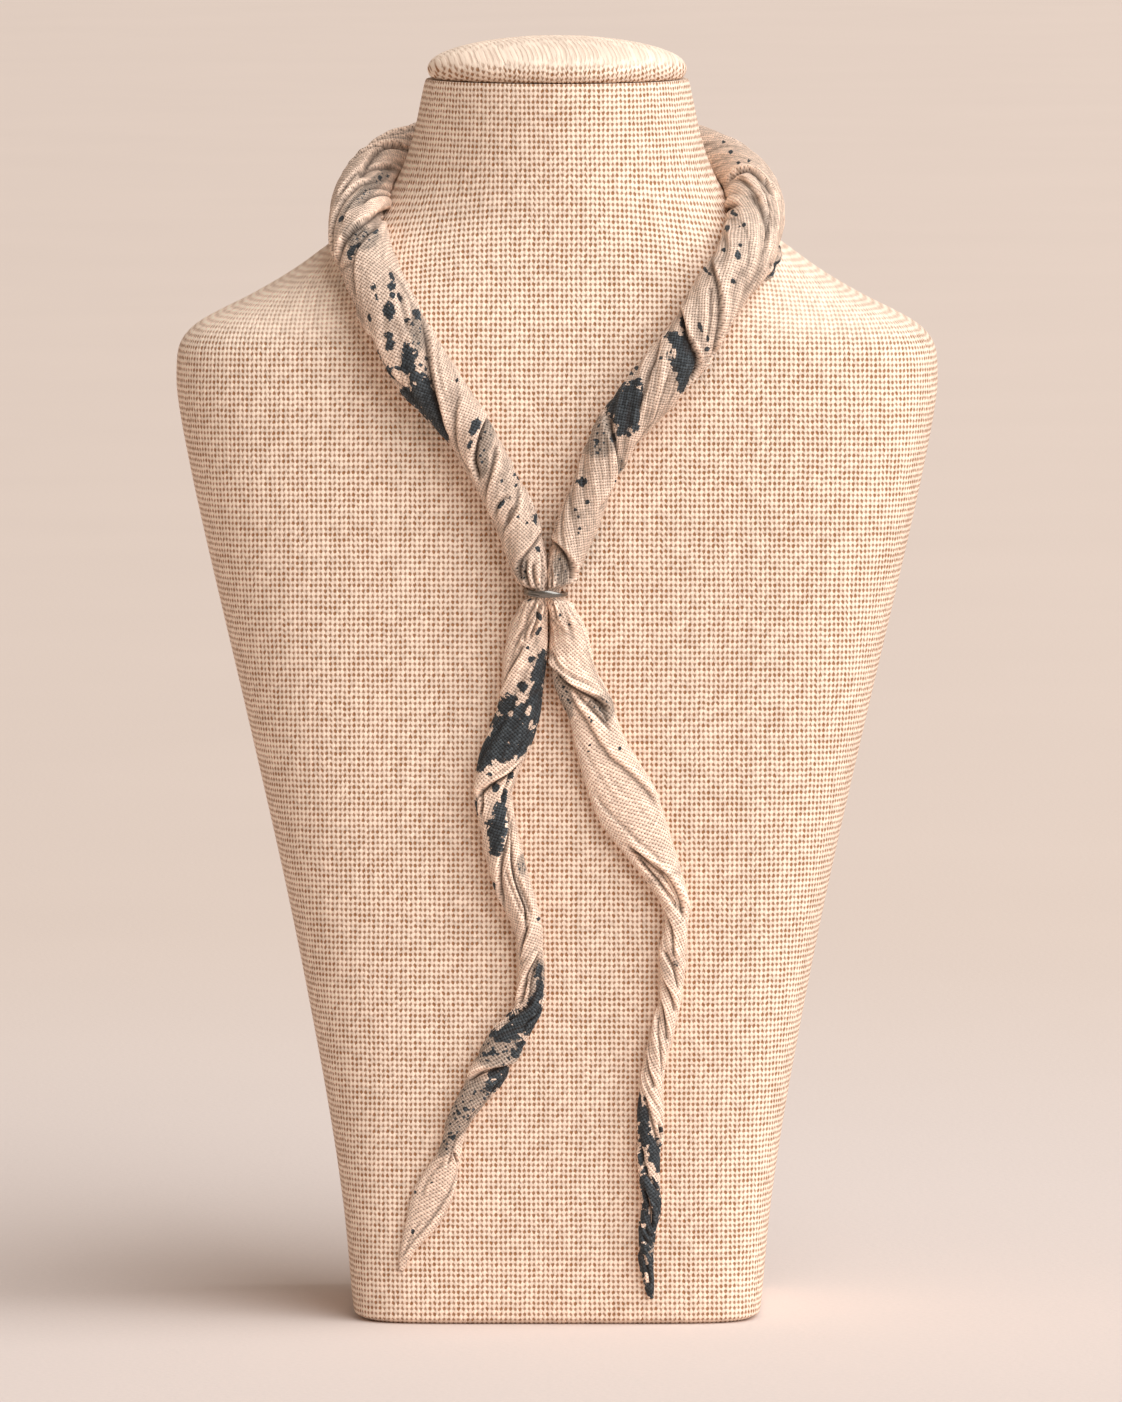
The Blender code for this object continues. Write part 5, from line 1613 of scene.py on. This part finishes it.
class BANDANA_OT_cap(bpy.types.Operator):
    """The linen-covered domed cap on the neck"""

    bl_idname = "bandana.cap"
    bl_label = "Linen Cap"

    def execute(self, context):
        rows = [(row.height, row.radius, row.radius, row.radius, 2.0) for row in CAP_ROWS]
        rings = bust_rings(curve_between(rows, 6), CAP_AROUND)
        made = turned_mesh("linen_cap", rings, (0, 0, CAP_TOP))
        layer = made.data.uv_layers.new(name="weave")
        for loop in made.data.loops:
            x, y, z = made.data.vertices[loop.vertex_index].co
            # As seen from the front, the threads run across the cap and up it, and on over its top.
            layer.data[loop.index].uv = (x + 0.15 * y, z - 0.3 * y)
        linen = linen_finish("cap_linen", context.scene.bandana_bust, sway=1.8)
        dress(made, linen)
        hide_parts("bust_cap")
        return {"FINISHED"}


class BANDANA_OT_ring(bpy.types.Operator):
    """The open wrap ring that holds both strands"""

    bl_idname = "bandana.ring"
    bl_label = "Wrap Ring"

    def execute(self, context):
        turned = RING_TURN_DEGREES * (np.linspace(0, 1, RING_STEPS) - 0.5)
        angle = np.radians(90 + turned)
        radius = RING_COIL_RADIUS - RING_SPREAD * turned / (RING_TURN_DEGREES / 2)
        x = RING_MIDDLE[0] + radius * np.cos(angle)
        y = RING_MIDDLE[1] + radius * np.sin(angle)
        z = RING_MIDDLE[2] + RING_RISE_PER_TURN * turned / 360 - RING_TILT * np.cos(angle)
        points = []
        for i in range(RING_STEPS):
            from_end = RING_TURN_DEGREES / 2 - abs(turned[i])
            blunt = min(1.0, from_end / RING_END_LENGTH)
            size = RING_WIRE_RADIUS * (0.3 + 0.7 * math.sin(blunt * math.pi / 2))
            beaten = math.exp(-(((turned[i] - RING_BEATEN_AT) / RING_BEATEN_WIDTH) ** 2))
            double = float(smooth_step(*RING_DOUBLE, turned[i]))
            for j in range(RING_AROUND):
                spin = 2 * math.pi * j / RING_AROUND
                waist = 1 - 0.75 * double * math.exp(-((math.sin(spin) / 0.35) ** 2))
                flat = (0.8 - 0.2 * beaten) * math.cos(spin) * size * waist
                tall = math.sin(spin) * size * (1.06 + 0.95 * beaten + 0.75 * double)
                points.append((x[i] + np.cos(angle[i]) * flat, y[i] + np.sin(angle[i]) * flat, z[i] + tall))
        faces = tube_faces(RING_STEPS, RING_AROUND)
        faces.append(tuple(range(RING_AROUND)))
        faces.append(tuple(range((RING_STEPS - 1) * RING_AROUND, RING_STEPS * RING_AROUND)))
        mesh = new_mesh("steel_ring", [tuple(np.array(p) * MM) for p in points], faces)
        recalculate(mesh)
        mesh.shade_smooth()
        made = add_object("steel_ring", mesh)
        dress(made, steel_finish("ring_steel", context.scene.bandana_ring))
        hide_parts("wrap_ring")
        return {"FINISHED"}


def chest_rows(rows):
    """Rows of a strand that lies on the chest, as x, y, z, width, depth and turn."""
    return [
        (*on_chest(row.across, row.height, row.depth), row.width, row.depth, getattr(row, "turn", 0.0))
        for row in rows]


def collar_spacing(whole):
    """Where the collar's rings lie along it."""
    left = np.arange(0, COLLAR_FRONT, COLLAR_FINE)
    right = whole - left[::-1]
    back = np.arange(left[-1] + COLLAR_COARSE, right[0] - COLLAR_LEAST, COLLAR_COARSE)
    return np.concatenate([left, back, right])


def collar_turns(lengths, whole):
    """The folds wind one way up the left strand and the other way down the right one."""
    return -360 * np.hypot(lengths - whole / 2, COLLAR_TURN_CHANGE) / COLLAR_TURN_LENGTH


class BANDANA_OT_collar(bpy.types.Operator):
    """The rope of cloth from the ring, round the neck and back to the ring"""

    bl_idname = "bandana.collar"
    bl_label = "Collar"

    def execute(self, context):
        look = context.scene.bandana_cloth
        neck_rows = [(*row, 0.0) for row in NECK_ROWS]
        rows = chest_rows(LEFT_DRAPE_ROWS) + neck_rows + chest_rows(RIGHT_DRAPE_ROWS)
        strand = Strand(rows, 0, COLLAR_AROUND, collar_spacing, collar_turns)
        strand.add_creases(COLLAR_CREASES)
        strand.add_hidden_creases(100, strand.whole - 100, gap=5.5, seed=11)
        strand.add_wrinkles(0.46, across=13, length=21.0, seed=21)
        strand.add_gathers(0.26, count=13)
        strand.add_blots(COLLAR_BLOTS)
        strand.add_hidden_blots(count=64, seed=31)
        made = cloth_mesh("cloth_collar", strand, look.hollow, tip=False)
        # The collar's whole ground is darkened by its factor, a painted shade.
        cotton = cloth_finish("collar_cotton", look, lean=math.radians(28), painted_light_of_piece=0.82)
        dress(made, cotton)
        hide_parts("left_drape", "neck_roll", "right_drape")
        strand.whole * MM
        return {"FINISHED"}


def stitch_tree():
    """Geometry nodes that set one stitch after another along lines on the cloth."""
    tree = bpy.data.node_groups.new("hem_stitches", "GeometryNodeTree")
    tree.interface.new_socket("Geometry", in_out="OUTPUT", socket_type="NodeSocketGeometry")
    tree.interface.new_socket("Geometry", in_out="INPUT", socket_type="NodeSocketGeometry")
    named = {}
    for name, kind in (("Spacing", "Float"), ("Stitch", "Object"), ("Material", "Material")):
        made = tree.interface.new_socket(name, in_out="INPUT", socket_type="NodeSocket" + kind)
        named[name] = made.identifier

    def add(kind, settings, links):
        node = tree.nodes.new(kind)
        for key, value in settings.items():
            setattr(node, key, value)
        for key, value in links.items():
            if isinstance(value, bpy.types.NodeSocket):
                tree.links.new(value, node.inputs[key])
            else:
                node.inputs[key].default_value = value
        return node.outputs

    given = add("NodeGroupInput", {}, {})
    curve = add("GeometryNodeMeshToCurve", {}, {"Mesh": given["Geometry"]})
    places = add(
        "GeometryNodeResampleCurve", {"mode": "LENGTH"}, {"Curve": curve[0], "Length": given["Spacing"]})
    tangent = add("GeometryNodeInputTangent", {}, {})
    along = add("FunctionNodeAlignRotationToVector", {"axis": "X"}, {"Vector": tangent[0]})
    facing = add("GeometryNodeInputNamedAttribute", {"data_type": "FLOAT_VECTOR"}, {"Name": "facing"})
    turned = add(
        "FunctionNodeAlignRotationToVector", {"axis": "Z", "pivot_axis": "X"},
        {"Rotation": along[0], "Vector": facing[0]})
    size = add("FunctionNodeRandomValue", {"data_type": "FLOAT"}, {2: 0.82, 3: 1.12, "Seed": 5})
    stitch = add("GeometryNodeObjectInfo", {}, {"Object": given["Stitch"]})
    row = add("GeometryNodeInstanceOnPoints", {}, {
        "Points": places[0], "Instance": stitch["Geometry"], "Rotation": turned[0], "Scale": size[1]})
    plain = add("GeometryNodeRealizeInstances", {}, {"Geometry": row[0]})
    finished = add("GeometryNodeSetMaterial", {}, {"Geometry": plain[0], "Material": given["Material"]})
    add("NodeGroupOutput", {}, {"Geometry": finished[0]})
    return tree, named


def hem_stitches(name, strand, creases, hems, look):
    """The stitches of some hems, which lie along the creases of the same names."""
    outer = strand.outer_points()
    points, edges, facings = [], [], []
    for crease in creases:
        if crease.name in hems:
            line, facing = strand.hem_line(crease.points, outer)
            edges += [(len(points) + i, len(points) + i + 1) for i in range(len(line) - 1)]
            points += (line * MM).tolist()
            facings += facing.tolist()
    lines = new_mesh(name + "_lines", points, [], edges)
    lines.attributes.new("facing", "FLOAT_VECTOR", "POINT").data.foreach_set("vector", np.ravel(facings))
    holder = add_object(name + "_lines", lines)

    bm = bmesh.new()
    bmesh.ops.create_icosphere(bm, subdivisions=2, radius=1.0)
    for vertex in bm.verts:
        vertex.co = Vector(a * b * MM for a, b in zip(vertex.co, STITCH_SIZE))
    one = bpy.data.meshes.new("stitch")
    bm.to_mesh(one)
    bm.free()
    one.shade_smooth()
    stitch = add_object("stitch", one)

    thread = Finish(name + "_thread", 0.85)
    thread.colour(thread.shade(tuple(look.sand), 0.80 + 0.3 * thread.noise(thread.place(), 900.0)))
    tree, named = stitch_tree()
    nodes = holder.modifiers.new("stitches", "NODES")
    nodes.node_group = tree
    nodes[named["Spacing"]] = STITCH_SPACING * MM
    nodes[named["Stitch"]] = stitch
    nodes[named["Material"]] = thread.material
    evaluated = holder.evaluated_get(bpy.context.evaluated_depsgraph_get())
    mesh = bpy.data.meshes.new_from_object(evaluated)
    mesh.name = name
    made = add_object(name, mesh)
    holder.modifiers.clear()
    for used in (holder, stitch):
        bpy.data.objects.remove(used)
    return dress(made, thread.material)


# tone is a painted light on a whole tail: the right one is made paler, as its leaf faces the light.
Tail = namedtuple("Tail", "name side rows creases hems blots calm lean tone seed replaced")
LEFT_TAIL = Tail(
    name="cloth_left_tail", side=-1, rows=LEFT_TAIL_ROWS, creases=LEFT_TAIL_CREASES, hems=("band hem",),
    blots=LEFT_TAIL_BLOTS, calm=(12.0, 42.0), lean=-30, tone=1.0, seed=41,
    replaced=("left_tail_band", "left_tail_twist", "left_tail_tip"))
RIGHT_TAIL = Tail(
    name="cloth_right_tail", side=1, rows=RIGHT_TAIL_ROWS, creases=RIGHT_TAIL_CREASES,
    hems=("wrap hem", "leaf edge hem"), blots=RIGHT_TAIL_BLOTS, calm=(116.0, 158.0), lean=34, tone=1.1,
    seed=51, replaced=("right_tail_leaf", "right_tail_twist", "right_tail_end"))


def tail_spacing(whole):
    return np.linspace(0, whole, round(whole / TAIL_SPACING))


def build_tail(context, tail):
    """One tail's shell and the stitches of its hems."""
    look = context.scene.bandana_cloth
    strand = Strand(chest_rows(tail.rows), tail.side, TAIL_AROUND, tail_spacing)
    strand.add_creases(tail.creases)
    strand.add_wrinkles(0.34, across=9, length=17.0, seed=tail.seed, calm=tail.calm)
    strand.add_gathers(0.2, count=11)
    strand.add_blots(tail.blots)
    made = cloth_mesh(tail.name, strand, look.hollow, tip=True)
    cotton = cloth_finish(tail.name + "_cotton", look, math.radians(tail.lean), tail.tone)
    dress(made, cotton)
    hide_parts(*tail.replaced)
    stitches = hem_stitches(tail.name + "_stitches", strand, tail.creases, tail.hems, look)
    strand.whole * MM


class BANDANA_OT_left_tail(bpy.types.Operator):
    """The left tail, from the ring to its open corner"""

    bl_idname = "bandana.left_tail"
    bl_label = "Left Tail"

    def execute(self, context):
        build_tail(context, LEFT_TAIL)
        return {"FINISHED"}


class BANDANA_OT_right_tail(bpy.types.Operator):
    """The right tail, from the ring to its twisted corner"""

    bl_idname = "bandana.right_tail"
    bl_label = "Right Tail"

    def execute(self, context):
        build_tail(context, RIGHT_TAIL)
        return {"FINISHED"}


# The stage. The camera looks at its target from this far off in metres, raised by some degrees. A portrait
# frame fits the sensor's width to its height, which spans FRAME_HEIGHT at the target.
CAMERA_TARGET = (1.0, -45.0, 157.0)
CAMERA_DISTANCE = 3.2
CAMERA_RISE = 5.2
SENSOR_WIDTH = 36.0
FRAME_HEIGHT = 348.4
# The key light's place, in degrees to the right of the front and up, and how wide a source it is
KEY_TO_RIGHT = 53
KEY_RISE = 42
KEY_WIDTH = 70
# The floor's rings, in metres
FLOOR_RADII = (0.25, 0.5, 1.0, 2.0, 5.0, 12.0, 28.0)
FLOOR_AROUND = 96


class BANDANA_OT_stage(bpy.types.Operator):
    """The camera, a soft light on the right, the light of the room, and a wide pale floor"""

    bl_idname = "bandana.stage"
    bl_label = "Stage"

    def execute(self, context):
        look = context.scene.bandana_stage
        self.make_camera(context)
        self.make_key(look)
        self.make_floor(look)
        world = bpy.data.worlds.new("room")
        world.use_nodes = True
        sky = world.node_tree.nodes["Background"]
        sky.inputs["Color"].default_value = (*look.room_colour, 1.0)
        sky.inputs["Strength"].default_value = look.sky
        context.scene.world = world
        context.scene.view_settings.view_transform = "Standard"
        return {"FINISHED"}

    def make_camera(self, context):
        rise = math.radians(CAMERA_RISE)
        data = bpy.data.cameras.new("camera")
        data.sensor_width = SENSOR_WIDTH
        data.lens = SENSOR_WIDTH * CAMERA_DISTANCE / (FRAME_HEIGHT * MM)
        data.clip_end = 60.0
        camera = add_object("camera", data)
        back = Vector((0.0, -math.cos(rise), math.sin(rise)))
        camera.location = Vector(CAMERA_TARGET) * MM + back * CAMERA_DISTANCE
        camera.rotation_euler = (-back).to_track_quat("-Z", "Y").to_euler()
        context.scene.camera = camera

    def make_key(self, look):
        to_right, rise = math.radians(KEY_TO_RIGHT), math.radians(KEY_RISE)
        data = bpy.data.lights.new("key", "SUN")
        data.energy = look.key_strength
        data.angle = math.radians(KEY_WIDTH)
        data.color = look.key_colour
        key = add_object("key", data)
        towards = Vector((
            math.sin(to_right) * math.cos(rise), -math.cos(to_right) * math.cos(rise), math.sin(rise)))
        key.location = towards * 2.0
        key.rotation_euler = towards.to_track_quat("Z", "Y").to_euler()

    def make_floor(self, look):
        points, faces = [(0.0, 0.0, 0.0)], []
        for radius in FLOOR_RADII:
            for j in range(FLOOR_AROUND):
                angle = 2 * math.pi * j / FLOOR_AROUND
                points.append((radius * math.cos(angle), radius * math.sin(angle), 0.0))
        for j in range(FLOOR_AROUND):
            k = (j + 1) % FLOOR_AROUND
            faces.append((0, 1 + j, 1 + k))
            for i in range(len(FLOOR_RADII) - 1):
                inner, outer = 1 + i * FLOOR_AROUND, 1 + (i + 1) * FLOOR_AROUND
                faces.append((inner + j, outer + j, outer + k, inner + k))
        mesh = new_mesh("floor", points, faces)
        mesh.materials.append(floor_finish("floor", look))
        add_object("floor", mesh)


class BANDANA_PT_panel(bpy.types.Panel):
    """Lists the pieces in the sidebar"""

    bl_label = "Bandana"
    bl_idname = "BANDANA_PT_panel"
    bl_space_type = "VIEW_3D"
    bl_region_type = "UI"
    bl_category = "Bandana"

    def draw(self, context):
        for operator in OPERATORS:
            self.layout.operator(operator.bl_idname)
        for name in LOOKS:
            look = getattr(context.scene, name)
            for field in look.bl_rna.properties.keys()[2:]:
                self.layout.prop(look, field)


LOOKS = {
    "bandana_bust": BustLook,
    "bandana_cloth": ClothLook,
    "bandana_ring": RingLook,
    "bandana_stage": StageLook,
}
OPERATORS = (
    BANDANA_OT_stage,
    BANDANA_OT_bust,
    BANDANA_OT_cap,
    BANDANA_OT_ring,
    BANDANA_OT_collar,
    BANDANA_OT_left_tail,
    BANDANA_OT_right_tail,
)


def register():
    for group in LOOKS.values():
        bpy.utils.register_class(group)
    for name, group in LOOKS.items():
        setattr(bpy.types.Scene, name, bpy.props.PointerProperty(type=group))
    for operator in OPERATORS:
        bpy.utils.register_class(operator)
    bpy.utils.register_class(BANDANA_PT_panel)


def unregister():
    bpy.utils.unregister_class(BANDANA_PT_panel)
    for operator in reversed(OPERATORS):
        bpy.utils.unregister_class(operator)
    for name, group in LOOKS.items():
        delattr(bpy.types.Scene, name)
        bpy.utils.unregister_class(group)


def main():
    register()
    bpy.ops.bandana.stage()
    bpy.ops.bandana.bust()
    bpy.ops.bandana.cap()
    bpy.ops.bandana.ring()
    bpy.ops.bandana.collar()
    bpy.ops.bandana.left_tail()
    bpy.ops.bandana.right_tail()


if __name__ == "__main__":
    main()
